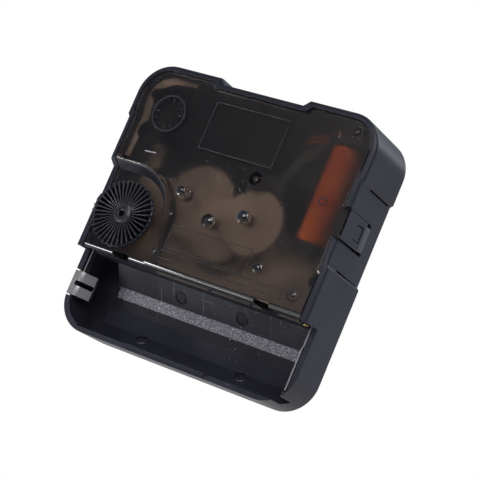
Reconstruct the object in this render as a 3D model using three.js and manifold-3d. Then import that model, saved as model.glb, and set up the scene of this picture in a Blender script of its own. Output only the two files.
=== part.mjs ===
// Quartz clock movement for one AA cell, with a rear setting knob and concentric hand shafts.
// Millimetres. Row frame: +Z to twelve o'clock, -Y along the hand shafts, origin on the shaft axis at the
// dial seat. The pieces are drawn on a bench frame, seen from the back: x right, y up, z from the dial seat
// to the cover.
import * as THREE from 'three';
import { mergeVertices } from 'three/addons/utils/BufferGeometryUtils.js';
import Module from 'manifold-3d';

const wasm = await Module();
wasm.setup();

// Driving dimensions of the case
const caseSide = 56;
const caseDepth = 15;
const cornerRadius = 7;
const wall = 1.2;
const ledge = 1;
const floorThickness = 1.2;
const gap = 0.3;
const overrun = 1;
const edgeRound = 0.5;
const coverThickness = 1.1;
const bayRimHeight = 0.9;
const bayRimRise = 0.5;
const bayRimRiseHalf = 9.5;
const partitionThickness = 1.2;
const partitionRise = 0.8;
const sideRecess = 0.5;
const sideRecessRise = 9.4;
const sideRecessMargin = 12;
const sideRecessSlope = 0.5;
const leftLobeWidth = 19;
const rightLobeWidth = 18.5;
const hangerDepth = 1.2;
const hangerSlope = 1.2;
const cornerPostRadius = 1.6;
const cornerPostInset = 6.5;
const bayPostInset = 4;
const bayPostRise = 2.9;

// Driving dimensions of the cell and its bay
const cellBoreRadius = 7.45;
const bayWall = 1;
const bayFloor = 1.15;
const pitWidth = 4.3;
const plateRoom = 0.8;
const troughFacetAngles = [90, 40, 10, -20, -50, -90];

// Gear train: axes as shares of half the case's side, and teeth; the modules follow from the distances
const centreAxis = [0, 0];
const intermediateShares = [0.2536, 0.1];
const thirdShares = [-0.2786, 0.1429];
const rotorShares = [0.2069, 0.379];
const bridgePostShares = [0.4143, -0.0214];
const motionTrainSlack = 0.08;
const teeth = {
  rotorPinion: 8,
  intermediate: 40,
  intermediatePinion: 8,
  second: 48,
  secondPinion: 8,
  third: 60,
  thirdPinion: 8,
  centre: 64,
  cannon: 12,
  motion: 36,
  motionPinion: 10,
  hour: 40,
  knobGear: 18,
};
const addendumShare = 0.75;
const dedendumShare = 1.05;
const wheelRootShare = 0.28;
const wheelTipShare = 0.12;
const pinionRootShare = 0.26;
const pinionPitchShare = 0.18;
const pinionTipShare = 0.07;

// Thicknesses of the stack, and the levels of the upper wheels as shares of the room over the centre wheel
const wheelThickness = 0.6;
const pinionThickness = 1;
const hourWheelThickness = 0.7;
const motionWheelRise = 0.5;
const motionWheelThickness = 0.7;
const middlePlateThickness = 0.7;
const clutchThickness = 0.15;
const clutchRadius = 3.2;
const bridgeShare = 0.16;
const thirdWheelShare = 0.2212;
const secondWheelShare = 0.4513;
const intermediateWheelShare = 0.7168;
const pivotRadius = 0.35;
const bearingBossRadius = 1.4;
const bearingBossLength = 1.9;
const bearingDepth = 1.6;
const bridgeRadius = 1.2;
const bridgeWidth = 1.9;

// Hand shafts
const secondPinRadius = 0.5;
const secondPinTip = -13;
const secondArborRadius = 0.25;
const secondArborGap = 0.2;
const minuteTubeRadius = 1.75;
const minuteTubeTip = -11;
const minuteBore = 0.8;
const minuteFlatHalf = 1.3;
const minuteFlatLength = 2;
const cannonNeckRadius = 1.3;
const hourTubeRadius = 2.55;
const hourTubeTip = -7.5;
const bushRadius = 4;
const bushTip = -5.5;
const bushFlangeRadius = 5.2;
const bushFlangeThickness = 0.6;
const threadPitch = 0.75;
const threadDepth = 0.4;

// Setting knob
const knobRadius = 7.1;
const knobRibDepth = 0.45;
const knobRibs = 36;
const knobThickness = 1.9;
const knobDrop = 0.2;
const knobSideMargin = 0.9;
const knobRise = 8.5;
const knobHubRadius = 2.1;
const knobHoleRadius = 0.5;
const knobDish = 0.5;
const knobPocketGap = 1.7;
const knobRibShares = [[-0.22, 0], [0.22, 0], [0.34, 1], [0.66, 1]];
const shelfDrop = 2.5;
const shelfThickness = 1;
const shoulderWidth = 1.4;
const settingShaftRadius = 1.2;
const settingPinRadius = 0.6;
const settingHubRadius = 1.6;

// Rotor, stator and coil
const magnetRadius = 2.2;
const magnetClearance = 0.65;
const rotorArborRadius = 0.4;
const statorThickness = 0.8;
const statorWidth = 3.4;
const statorLobeRadius = 4;
const coilSideMargin = 8;
const coilEndMargin = 6;
const coilLength = 20;
const coilFlangeShare = 0.771;
const coilFlangeThickness = 0.8;
const coilFlangeLip = 0.2;
const spoolShare = 0.6;
const coreShare = 0.5556;
const coreFlatness = 0.4;
const coreOverhang = 1.8;
const terminalRadius = 0.35;
const terminalLength = 1.5;
const terminalShare = 0.7;
const leadRadius = 0.15;
const leadSides = 5;
const leadSteps = 10;
const leadOverhang = 1.4;
const leadReach = 1.4;
const leadEndInset = 4.9;
const leadEndMargin = 3.4;
const leadSpacing = 1.4;
const leadStagger = 0.6;

// Circuit board
const boardSideMargin = 5.5;
const boardCoilMargin = 13.5;
const boardTopMargin = 3.8;
const boardRotorGap = 0.4;
const boardRiseShare = 0.0964;
const boardThickness = 0.8;
const chipRadius = 2.2;
const chipHeight = 0.9;
const chipWaistShare = 0.8;
const chipShoulderShare = 0.7;
const crystalRadius = 1;
const crystalLength = 6;
const crystalOffset = 2.5;
const crystalLeadLength = 1.6;
const crystalLeadSize = 0.3;

// Contact strips
const stripThickness = 0.3;
const clipWidth = 5;
const clipOffset = 0.45;
const clipLegLength = 1.7;
const clipReach = 2.15;
const clipTipBack = 0.4;
const clipBendDrop = 2.5;
const clipTipDrop = 3.5;
const clipDepth = 6;
const slotWidth = 1;
const slotDepth = 3;
const armHeight = 1.6;
const grooveLength = 2;
const plateWidth = 8.5;
const plateOffset = -0.7;
const plateDepth = 6.35;
const dimpleRadius = 1;
const dimpleHeight = 0.4;
const dimplePitch = 3.7;
const dimpleOffset = -0.2;
const bendShares = [0, 0.25, 0.5, 0.75, 1];

// Latch strap on the right side
const latchLow = 4.3;
const latchHigh = 10;
const latchThickness = 0.8;
const latchLength = 8;
const latchWindowMargin = 1.3;
const latchSill = 0.8;
const latchWindowHeight = 2.6;

// Lip, skirt, domes and small bosses of the cover; places and radii as shares of half the case's side
const notchWidth = 3.4;
const notchShares = [-0.611, 0.636];
const skirtStep = 0.2;
const skirtThickness = 1;
const domeHeight = 0.3;
const domeShares = [[0, 0, 0.05], [0.25, 0.0964, 0.041], [0.5107, -0.2071, 0.041]];
const shelfDomeRadius = 1;
const shelfDomeMargin = 1.4;
const bossHeight = 0.15;
const bossShares = [[-0.8429, 0.8536, 0.025], [0.8071, 0.8571, 0.0321], [0.8357, -0.3179, 0.0357]];

// Places that follow from the driving dimensions
const half = caseSide / 2;
const place = (shares) => shares.map((share) => share * half);
const cellAxisY = bayWall + cellBoreRadius - half;
const cellAxisZ = bayFloor + cellBoreRadius;
const bayRimZ = cellAxisZ + bayRimHeight;
const partitionOuter = cellAxisY + cellBoreRadius;
const partitionInner = partitionOuter + partitionThickness;
const partitionTop = bayRimZ + partitionRise;
const sideRecessLow = partitionInner + sideRecessRise;
const sideRecessHigh = half - sideRecessMargin;
const troughLeft = wall + pitWidth - half;
const troughRight = half - wall - plateRoom;
const coverBottom = caseDepth - coverThickness;
const seatZ = coverBottom - gap;
const wellInset = wall + ledge;
const coverInset = wall + gap;
const plateInset = wellInset + gap;
const shelfTop = caseDepth - shelfDrop;
const pocketRadius = knobRadius + knobPocketGap;
const knobAxis = [knobRadius + knobSideMargin - half, partitionOuter + knobRise];
const pocketEdge = knobAxis[0] + pocketRadius + shoulderWidth;
const knobTop = caseDepth - knobDrop;
const knobBottom = knobTop - knobThickness;
const pivotHole = pivotRadius + gap;
const pivotTop = coverBottom - bearingBossLength + bearingDepth - gap;
const hourWheelZ = floorThickness + gap + bushFlangeThickness + gap;
const motionWheelZ = hourWheelZ + hourWheelThickness + motionWheelRise;
const middlePlateZ = motionWheelZ + pinionThickness + gap;
const middlePlateTop = middlePlateZ + middlePlateThickness;
const clutchZ = middlePlateTop + gap;
const centreWheelZ = clutchZ + clutchThickness + gap;
const stackRoom = coverBottom - bearingBossLength - centreWheelZ;
const bridgeZ = centreWheelZ + wheelThickness + gap;
const bridgeThickness = stackRoom * bridgeShare;
const thirdWheelZ = centreWheelZ + stackRoom * thirdWheelShare;
const secondWheelZ = centreWheelZ + stackRoom * secondWheelShare;
const intermediateWheelZ = centreWheelZ + stackRoom * intermediateWheelShare;
const bridgePost = place(bridgePostShares);
const coilZ = (middlePlateTop + coverBottom) / 2;
const coilFlangeHalf = (coilZ - middlePlateTop) * coilFlangeShare;
const coilRadius = coilFlangeHalf - coilFlangeLip;
const spoolRadius = coilRadius * spoolShare;
const coreHalfWidth = spoolRadius * coreShare;
const coreThickness = 2 * coreHalfWidth * coreFlatness;
const coreZ = coilZ - coreThickness / 2;
const statorZ = coreZ - gap - statorThickness;
const magnetTop = intermediateWheelZ - magnetClearance;
const magnetBottom = 2 * statorZ + statorThickness - magnetTop;
const coilX = half - coilSideMargin;
const coilHigh = half - coilEndMargin;
const coilLow = coilHigh - coilLength;
const coreLow = coilLow - coilFlangeThickness - coreOverhang;
const coreHigh = coilHigh + coilFlangeThickness + coreOverhang;
const terminalZ = coilZ + coilFlangeHalf / 2;
const terminalXs = [coilX - coilFlangeHalf * terminalShare, coilX + coilFlangeHalf * terminalShare];
const terminalLow = coilHigh + 2 * gap;
const intermediateAxis = place(intermediateShares);
const thirdAxis = place(thirdShares);
const domePlaces = [...domeShares.map(place), [pocketEdge + shelfDomeMargin, thirdAxis[1], shelfDomeRadius]];
const rotorAxis = place(rotorShares);
const boardLeft = boardSideMargin - half;
const boardRight = half - boardCoilMargin;
const boardHigh = half - boardTopMargin;
const boardLow = rotorAxis[1] + magnetRadius + boardRotorGap;
const boardMiddle = (boardLow + boardHigh) / 2;
const boardZ = middlePlateTop + (coverBottom - middlePlateTop) * boardRiseShare;
const boardPosts = [
  [boardLeft + cornerPostRadius, boardHigh - cornerPostRadius],
  [boardLeft + cornerPostRadius, boardLow + cornerPostRadius],
  [boardRight - cornerPostRadius, boardHigh - cornerPostRadius],
];
const crystalPlace = [(boardLeft + boardRight) / 2 + crystalOffset, boardMiddle];
const crystalEnd = crystalPlace[0] - crystalLength / 2 - gap;
const chipPlace = [(boardLeft + crystalEnd - crystalLeadLength) / 2, boardMiddle];
const leadEnds = [
  [boardRight - leadEndInset, boardHigh - leadEndMargin],
  [boardRight - leadEndInset + leadStagger, boardHigh - leadEndMargin + leadSpacing],
];
const armZ = boardZ + boardThickness + gap;
const armWallX = half - sideRecess - wellInset - gap - stripThickness / 2;
const armBayX = half - wall - gap - stripThickness / 2;
const jogY = partitionInner + grooveLength / 2;
const clipTop = bayRimZ - stripThickness / 2;
const clipY = cellAxisY + clipOffset;
const clipLegBottom = bayRimZ - clipLegLength;
const plateLow = cellAxisY + plateOffset - plateWidth / 2;
const plateHigh = plateLow + plateWidth;
const plateBottom = clipTop - plateDepth;
const dimpleYs = [-1, 1].map((side) => cellAxisY + dimpleOffset + (side * dimplePitch) / 2);
const latchOuter = half;
const latchInner = latchOuter - latchThickness;
const latchChannel = latchInner - gap;
const latchBottom = caseDepth - latchLength;
const latchWindowLow = latchBottom + latchSill;
const latchWindowHigh = latchWindowLow + latchWindowHeight;
const skirtOuter = partitionOuter + skirtStep;
const skirtInner = skirtOuter + skirtThickness;
const shelfBottom = shelfTop - shelfThickness;

// Angles
const turn = Math.PI * 2;
const radians = (degrees) => (degrees * Math.PI) / 180;

// Pitch radii
const distance = (a, b) => Math.hypot(a[0] - b[0], a[1] - b[1]);
const moduleOf = (a, b, teethA, teethB) => (2 * distance(a, b)) / (teethA + teethB);
const intermediateModule = moduleOf(rotorAxis, intermediateAxis, teeth.rotorPinion, teeth.intermediate);
const secondModule = moduleOf(centreAxis, intermediateAxis, teeth.second, teeth.intermediatePinion);
const thirdModule = moduleOf(centreAxis, thirdAxis, teeth.third, teeth.secondPinion);
const centreModule = moduleOf(centreAxis, thirdAxis, teeth.centre, teeth.thirdPinion);
const motionTeeth = teeth.cannon + 2 * teeth.motion + teeth.knobGear;
const motionModule = (2 * (distance(centreAxis, knobAxis) + motionTrainSlack)) / motionTeeth;
const motionDistance = (motionModule * (teeth.cannon + teeth.motion)) / 2;
const knobDistance = (motionModule * (teeth.knobGear + teeth.motion)) / 2;
const motionAxis = meetingPoint(centreAxis, motionDistance, knobAxis, knobDistance);
const hourModule = moduleOf(centreAxis, motionAxis, teeth.hour, teeth.motionPinion);

// The upper point that lies at given distances from two axes.
function meetingPoint(a, fromA, b, fromB) {
  const span = distance(a, b);
  const along = (fromA ** 2 - fromB ** 2 + span ** 2) / (2 * span);
  const across = Math.sqrt(fromA ** 2 - along ** 2);
  const ux = (b[0] - a[0]) / span;
  const uy = (b[1] - a[1]) / span;
  return [a[0] + along * ux + across * uy, a[1] + along * uy - across * ux];
}

// The angle from one axis to another.
function heading(from, to) {
  return Math.atan2(to[1] - from[1], to[0] - from[0]);
}

// The phase that puts a gap of the driven wheel on a tooth of its driver.
function meshPhase(driverAxis, driverTeeth, driverPhase, axis, count) {
  const line = heading(driverAxis, axis);
  return line + Math.PI - (driverTeeth / count) * (driverPhase - line) - Math.PI / count;
}

// Turns a three.js geometry into a closed solid, and back.
const weldTolerance = 1e-4;

function solid(geometry) {
  const plain = geometry.clone();
  plain.deleteAttribute('normal');
  plain.deleteAttribute('uv');
  const merged = mergeVertices(plain, weldTolerance);
  return new wasm.Manifold(new wasm.Mesh({
    numProp: 3,
    vertProperties: new Float32Array(merged.attributes.position.array),
    triVerts: new Uint32Array(merged.index.array),
  }));
}

function geometryOf(body) {
  const mesh = body.getMesh();
  const geometry = new THREE.BufferGeometry();
  const points = new THREE.BufferAttribute(new Float32Array(mesh.vertProperties), mesh.numProp);
  geometry.setAttribute('position', points);
  geometry.setIndex(new THREE.BufferAttribute(new Uint32Array(mesh.triVerts), 1));
  return geometry;
}

function join(...bodies) {
  return bodies.reduce((sum, body) => sum.add(body));
}

function cut(body, ...tools) {
  return tools.reduce((rest, tool) => rest.subtract(tool), body);
}

// A block between two corners.
function block(x0, x1, y0, y1, z0, z1) {
  const box = new THREE.BoxGeometry(x1 - x0, y1 - y0, z1 - z0);
  box.translate((x0 + x1) / 2, (y0 + y1) / 2, (z0 + z1) / 2);
  return solid(box);
}

// A round bar along z.
function rod(axis, radius, z0, z1, sides = 16) {
  const bar = new THREE.CylinderGeometry(radius, radius, z1 - z0, sides);
  bar.rotateX(Math.PI / 2);
  bar.translate(axis[0], axis[1], (z0 + z1) / 2);
  return solid(bar);
}

// A turned body from a profile of [radius, z] points that starts and ends on the axis, or closes on itself.
function turned(axis, profile, sides = 24) {
  const points = profile.map(([radius, z]) => new THREE.Vector2(radius, z));
  const body = new THREE.LatheGeometry(points, sides);
  body.rotateX(Math.PI / 2);
  body.translate(axis[0], axis[1], 0);
  return solid(body);
}

// A flat outline drawn up from z0 to z1.
function prism(shape, z0, z1, curveSegments = 6) {
  const body = new THREE.ExtrudeGeometry(shape, { depth: z1 - z0, bevelEnabled: false, curveSegments });
  body.translate(0, 0, z0);
  return solid(body);
}

function outlineOf(points) {
  return new THREE.Shape(points.map(([x, y]) => new THREE.Vector2(x, y)));
}

// A straight bar of rectangular section between two places.
function bar(from, to, width, z0, z1) {
  const length = distance(from, to);
  const body = new THREE.BoxGeometry(length, width, z1 - z0);
  body.rotateZ(heading(from, to));
  body.translate((from[0] + to[0]) / 2, (from[1] + to[1]) / 2, (z0 + z1) / 2);
  return solid(body);
}

// The outline of the case, seen from the back and drawn in by an inset.
function caseOutline(inset) {
  const edge = half - inset;
  const radius = cornerRadius - inset;
  const low = sideRecessLow - inset;
  const high = sideRecessHigh + inset;
  const left = leftLobeWidth - half - inset;
  const right = half - rightLobeWidth + inset;
  const shape = new THREE.Shape();
  shape.moveTo(radius - edge, -edge);
  shape.absarc(edge - radius, radius - edge, radius, -Math.PI / 2, 0, false);
  shape.lineTo(edge, low);
  shape.lineTo(edge - sideRecess, low + sideRecessSlope);
  shape.lineTo(edge - sideRecess, high - sideRecessSlope);
  shape.lineTo(edge, high);
  shape.absarc(edge - radius, edge - radius, radius, 0, Math.PI / 2, false);
  shape.lineTo(right + hangerSlope, edge);
  shape.lineTo(right, edge - hangerDepth);
  shape.lineTo(left, edge - hangerDepth);
  shape.lineTo(left - hangerSlope, edge);
  shape.absarc(radius - edge, edge - radius, radius, Math.PI / 2, Math.PI, false);
  shape.lineTo(-edge, high);
  shape.lineTo(sideRecess - edge, high - sideRecessSlope);
  shape.lineTo(sideRecess - edge, low + sideRecessSlope);
  shape.lineTo(-edge, low);
  shape.absarc(radius - edge, radius - edge, radius, Math.PI, Math.PI * 1.5, false);
  return shape;
}

// The case's outline as a solid with rounded edges.
function caseBlank() {
  const body = new THREE.ExtrudeGeometry(caseOutline(0), {
    depth: caseDepth - 2 * edgeRound,
    bevelEnabled: true,
    bevelThickness: edgeRound,
    bevelSize: edgeRound,
    bevelOffset: -edgeRound,
    bevelSegments: 1,
    curveSegments: 6,
  });
  body.translate(0, 0, edgeRound);
  return solid(body);
}

// The case's inner well, above a level and inside an inset, on the gear side of a line across.
function well(inset, lineY, z0, z1) {
  const keep = block(-half, half, lineY, half, z0, z1);
  return prism(caseOutline(inset), z0, z1).intersect(keep);
}

// The corner points of a trough whose facets lie against the cell.
function troughSection() {
  const points = [];
  for (let i = 0; i + 1 < troughFacetAngles.length; i += 1) {
    const middle = radians((troughFacetAngles[i] + troughFacetAngles[i + 1]) / 2);
    const spread = radians((troughFacetAngles[i] - troughFacetAngles[i + 1]) / 2);
    const reach = cellBoreRadius / Math.cos(spread);
    points.push([cellAxisY + reach * Math.sin(middle), cellAxisZ - reach * Math.cos(middle)]);
  }
  const top = caseDepth + overrun;
  return [[partitionOuter, top], ...points, [points[points.length - 1][0], top]];
}

// A section drawn in [y, z] and run along x.
function alongX(section, x0, x1) {
  const body = new THREE.ExtrudeGeometry(outlineOf(section), { depth: x1 - x0, bevelEnabled: false });
  body.applyMatrix4(new THREE.Matrix4().set(0, 0, 1, x0, 1, 0, 0, 0, 0, 1, 0, 0, 0, 0, 0, 1));
  return solid(body);
}

// A section drawn in [x, z] and run along y.
function alongY(section, y0, y1) {
  const body = new THREE.ExtrudeGeometry(outlineOf(section), { depth: y1 - y0, bevelEnabled: false });
  body.applyMatrix4(new THREE.Matrix4().set(1, 0, 0, 0, 0, 0, -1, y1, 0, 1, 0, 0, 0, 0, 0, 1));
  return solid(body);
}

// A bent ribbon's outline: a line of points given a thickness.
function ribbon(points, thickness) {
  const side = (sign) => points.map((point, i) => {
    const before = points[Math.max(i - 1, 0)];
    const after = points[Math.min(i + 1, points.length - 1)];
    const inward = i > 0 ? heading(before, point) : heading(point, after);
    const outward = i + 1 < points.length ? heading(point, after) : inward;
    const middle = (inward + outward) / 2;
    const reach = (sign * thickness) / 2 / Math.cos((outward - inward) / 2);
    return [point[0] - reach * Math.sin(middle), point[1] + reach * Math.cos(middle)];
  });
  return [...side(-1), ...side(1).reverse()];
}

// The outline of a toothed wheel. Each tooth has the given half widths, as shares of the tooth pitch.
function toothedOutline(count, size, phase, widths) {
  const pitch = (count * size) / 2;
  const root = pitch - dedendumShare * size;
  const tip = pitch + addendumShare * size;
  const radii = widths.length === 3 ? [root, pitch, tip] : [root, tip];
  const flank = radii.map((radius, i) => [radius, widths[i]]);
  const points = [];
  for (let i = 0; i < count; i += 1) {
    for (const [radius, share] of flank) {
      const angle = phase + (turn * (i - share)) / count;
      points.push([radius * Math.cos(angle), radius * Math.sin(angle)]);
    }
    for (const [radius, share] of [...flank].reverse()) {
      const angle = phase + (turn * (i + share)) / count;
      points.push([radius * Math.cos(angle), radius * Math.sin(angle)]);
    }
  }
  return points;
}

function toothed(axis, count, size, phase, z0, z1, widths) {
  const points = toothedOutline(count, size, phase, widths);
  return prism(outlineOf(points.map(([x, y]) => [x + axis[0], y + axis[1]])), z0, z1);
}

function wheel(axis, count, size, phase, z0, z1) {
  return toothed(axis, count, size, phase, z0, z1, [wheelRootShare, wheelTipShare]);
}

function pinion(axis, count, size, phase, z0, z1) {
  return toothed(axis, count, size, phase, z0, z1, [pinionRootShare, pinionPitchShare, pinionTipShare]);
}

// Phases of the train, each wheel set to its driver
const rotorPhase = 0;
const intermediatePhase = meshPhase(
  rotorAxis, teeth.rotorPinion, rotorPhase, intermediateAxis, teeth.intermediate);
const secondPhase = meshPhase(intermediateAxis, teeth.intermediatePinion, 0, centreAxis, teeth.second);
const thirdPhase = meshPhase(centreAxis, teeth.secondPinion, 0, thirdAxis, teeth.third);
const centrePhase = meshPhase(thirdAxis, teeth.thirdPinion, 0, centreAxis, teeth.centre);
const motionPhase = meshPhase(knobAxis, teeth.knobGear, 0, motionAxis, teeth.motion);
const cannonPhase = meshPhase(motionAxis, teeth.motion, motionPhase, centreAxis, teeth.cannon);
const hourPhase = meshPhase(motionAxis, teeth.motionPinion, 0, centreAxis, teeth.hour);

// The front case: tray, bay, partition, posts and rim
const postHeight = middlePlateZ - gap;
const postPivotTop = motionWheelZ + motionWheelThickness;
const cornerPosts = [-1, 1].flatMap((side) => [
  [side * (half - cornerPostInset), half - cornerPostInset],
  [side * (half - bayPostInset), partitionOuter + bayPostRise],
]);

function frontCase() {
  const top = caseDepth + overrun;
  const inner = well(wellInset, partitionInner, floorThickness, top);
  const seat = well(wall, partitionOuter, seatZ, top);
  const aboveRim = block(-half - overrun, half + overrun, -half - overrun, partitionOuter, bayRimZ, top);
  const abovePartition = block(wellInset - half, half - wellInset, partitionOuter - overrun,
    partitionInner + overrun, partitionTop, top);
  const trough = alongX(troughSection(), troughLeft, troughRight);
  const bayCorner = prism(caseOutline(wall), floorThickness, top).intersect(
    block(-half, troughLeft + gap, -half, partitionOuter, floorThickness, top));
  const riseEdge = edgeRound + wall / 2;
  const rise = block(-bayRimRiseHalf, bayRimRiseHalf, edgeRound - half, riseEdge - half,
    bayRimZ - bayRimRise, bayRimZ + bayRimRise);
  const shelfReach = pocketRadius + shoulderWidth + shelfThickness + gap;
  const knobSeatRight = knobAxis[0] + shelfReach;
  const knobSeatTop = knobAxis[1] + shelfReach;
  const knobSeat = prism(caseOutline(wall), shelfTop - shelfThickness - gap, top).intersect(
    block(-half, knobSeatRight, partitionOuter, knobSeatTop, 0, top));
  const knobRim = shoulderCut().intersect(
    block(-half - overrun, wellInset + sideRecess - half, -half, half, 0, top));
  const shaped = cut(caseBlank(), inner, seat, aboveRim, abovePartition, trough, bayCorner, knobSeat, knobRim,
    rod(centreAxis, bushRadius + gap, -overrun, floorThickness + overrun, 32));
  const posts = cornerPosts.map(
    (axis) => rod(axis, cornerPostRadius, floorThickness - gap, postHeight, 12));
  const pins = [motionAxis, knobAxis].map(
    (axis) => rod(axis, settingPinRadius, floorThickness - gap, postPivotTop - gap, 12));
  const full = join(shaped, rise, ...posts, ...pins);
  return cut(full, ...contactCuts(), ...latchCuts()).add(latchNub());
}

// Room in the case for the two contact strips
function contactCuts() {
  const clipHalf = clipWidth / 2 + gap;
  const outerLegDepth = stripThickness + gap;
  const armCut = stripThickness / 2 + gap;
  const armTop = partitionTop + overrun;
  const wellEdge = half - wellInset;
  const top = caseDepth;
  const rimNotch = block(-half - overrun, troughLeft, clipY - clipHalf, clipY + clipHalf,
    bayRimZ - stripThickness - gap, top);
  const outerNotch = block(-half - overrun, outerLegDepth - half, clipY - clipHalf, clipY + clipHalf,
    clipLegBottom - gap, top);
  const plateRecess = block(troughRight - gap, half - wall, plateLow - gap, partitionOuter,
    plateBottom - gap, top);
  const grooves = [-1, 1].map((side) => {
    const xs = [side * (wellEdge - overrun), side * (armBayX + armCut)].sort((a, b) => a - b);
    return block(xs[0], xs[1], partitionOuter - overrun, partitionInner + grooveLength,
      armZ - gap, armTop);
  });
  return [rimNotch, outerNotch, plateRecess, ...grooves];
}

// Room for the latch strap, and the nub that it snaps over
function latchCuts() {
  return [
    block(latchChannel, half + overrun, latchLow - gap, latchHigh + gap, latchBottom - gap,
      caseDepth + overrun),
    block(half - wellInset, half + overrun, latchLow - gap, latchHigh + gap, seatZ, caseDepth + overrun),
  ];
}

function latchNub() {
  const low = latchLow + latchWindowMargin + gap;
  const high = latchHigh - latchWindowMargin - gap;
  const section = [
    [latchChannel - gap, latchWindowLow + gap],
    [latchInner + latchThickness / 2, latchWindowLow + gap],
    [latchInner, latchWindowHigh - gap],
    [latchChannel - gap, latchWindowHigh - gap],
  ];
  return alongY(section, low, high);
}

// The threaded bush that carries the hour tube and clamps the dial
function threadedBush() {
  const bore = hourTubeRadius + gap;
  const flangeTop = floorThickness + gap + bushFlangeThickness;
  const root = bushRadius - threadDepth;
  const crests = Math.floor(-bushTip / threadPitch);
  const profile = [[bore, flangeTop], [bore, bushTip], [root, bushTip]];
  for (let i = 0; i < crests; i += 1) {
    const z = bushTip + threadPitch * i;
    profile.push([bushRadius, z + threadPitch / 2], [root, z + threadPitch]);
  }
  profile.push([bushRadius - gap / 2, 0], [bushRadius - gap / 2, floorThickness + gap]);
  profile.push([bushFlangeRadius, floorThickness + gap], [bushFlangeRadius, flangeTop], [bore, flangeTop]);
  return turned(centreAxis, profile, 24);
}

// The middle plate that carries the train's lower pivots, with a bridge over the centre wheel
function middlePlate() {
  const z0 = middlePlateZ;
  const z1 = middlePlateTop;
  const plate = prism(caseOutline(plateInset), z0, z1).intersect(
    block(-half, half, partitionInner + gap, half, z0, z1));
  const hole = (axis, radius) => rod(axis, radius, z0 - overrun, z1 + overrun, 12);
  const standoffTop = boardZ - gap;
  const standoffs = boardPosts.map((axis) => rod(axis, cornerPostRadius / 2, z0, standoffTop, 10));
  const bridgeTop = bridgeZ + bridgeThickness;
  const bridge = join(
    rod(bridgePost, bridgeRadius, z0, bridgeTop, 12),
    bar(bridgePost, intermediateAxis, bridgeWidth, bridgeZ, bridgeTop),
    rod(intermediateAxis, bridgeRadius, bridgeZ, bridgeTop, 12));
  return cut(join(plate, ...standoffs, bridge),
    hole(centreAxis, cannonNeckRadius + gap),
    hole(knobAxis, settingShaftRadius + gap),
    rod(intermediateAxis, pivotHole, z1, bridgeTop + overrun, 12),
    ...[thirdAxis, rotorAxis].map((axis) => hole(axis, pivotHole)));
}

// The smoked rear cover: plate, knob shelf, skirt, latch strap and bearing bosses
function pocketOutline(radius, edgeX, lowY) {
  const shape = new THREE.Shape();
  shape.moveTo(edgeX, lowY);
  shape.lineTo(knobAxis[0] + radius, lowY);
  shape.absarc(knobAxis[0], knobAxis[1], radius, 0, Math.PI / 2, false);
  shape.lineTo(edgeX, knobAxis[1] + radius);
  return shape;
}

// The space over the knob's shelf, with a sloped shoulder round it
function shoulderCut() {
  const outline = pocketOutline(pocketRadius, -half - overrun, partitionOuter - overrun);
  const body = new THREE.ExtrudeGeometry(outline, {
    depth: overrun,
    bevelEnabled: true,
    bevelThickness: shelfDrop,
    bevelSize: shoulderWidth,
    bevelSegments: 1,
    curveSegments: 8,
  });
  body.translate(0, 0, caseDepth);
  return solid(body);
}

function rearCover() {
  const plate = prism(caseOutline(coverInset), coverBottom, caseDepth).intersect(
    block(-half, half, skirtOuter, half, coverBottom, caseDepth));
  const skirtHalf = half - wellInset - gap;
  const skirt = block(-skirtHalf, skirtHalf, skirtOuter, skirtInner, partitionTop + gap, caseDepth);
  const shelfRegion = pocketOutline(pocketRadius + shoulderWidth + shelfThickness, -half, skirtOuter);
  const shelfBody = prism(shelfRegion, shelfBottom, caseDepth, 8).intersect(
    prism(caseOutline(coverInset), shelfBottom, caseDepth));
  const hollowRegion = pocketOutline(pocketRadius + shoulderWidth, -half - overrun, -half);
  const underShelf = prism(hollowRegion, 0, shelfBottom, 8);
  const bosses = [centreAxis, intermediateAxis, thirdAxis, rotorAxis].map((axis) => turned(axis, [
    [0, coverBottom + gap], [bearingBossRadius, coverBottom + gap],
    [bearingBossRadius, coverBottom - bearingBossLength], [0, coverBottom - bearingBossLength],
  ].reverse(), 12));
  const bearings = [centreAxis, intermediateAxis, thirdAxis, rotorAxis].map(
    (axis) => rod(axis, pivotHole, 0, coverBottom - bearingBossLength + bearingDepth, 8));
  const caps = domePlaces.map(([x, y, radius]) => turned([x, y], [
    [0, caseDepth - gap], [radius, caseDepth - gap], [radius, caseDepth],
    [radius * Math.SQRT1_2, caseDepth + domeHeight * Math.SQRT1_2], [0, caseDepth + domeHeight],
  ], 12));
  const pads = bossShares.map((shares) => {
    const [x, y, radius] = place(shares);
    return rod([x, y], radius, caseDepth - gap, caseDepth + bossHeight, 10);
  });
  const strap = cut(
    join(
      block(half - wellInset, latchOuter, latchLow, latchHigh, coverBottom, caseDepth),
      block(latchInner, latchOuter, latchLow, latchHigh, latchBottom, caseDepth)),
    block(latchInner - overrun, latchOuter + overrun, latchLow + latchWindowMargin,
      latchHigh - latchWindowMargin, latchWindowLow, latchWindowHigh));
  const notches = place(notchShares).map((x) => block(x - notchWidth / 2, x + notchWidth / 2,
    skirtOuter - overrun, skirtInner, partitionTop, caseDepth + overrun));
  const armWindows = [-1, 1].map((side) => {
    const xs = [side * (armWallX - gap - stripThickness), side * half].sort((a, b) => a - b);
    return block(xs[0], xs[1], skirtOuter - overrun, skirtInner + overrun, partitionTop,
      partitionTop + overrun);
  });
  const hollow = cut(join(plate, skirt, shelfBody), shoulderCut());
  return cut(join(cut(hollow, underShelf), ...bosses, ...caps, ...pads, strap), ...bearings, ...notches,
    ...armWindows, rod(knobAxis, settingShaftRadius + gap, 0, caseDepth, 16));
}

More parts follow.
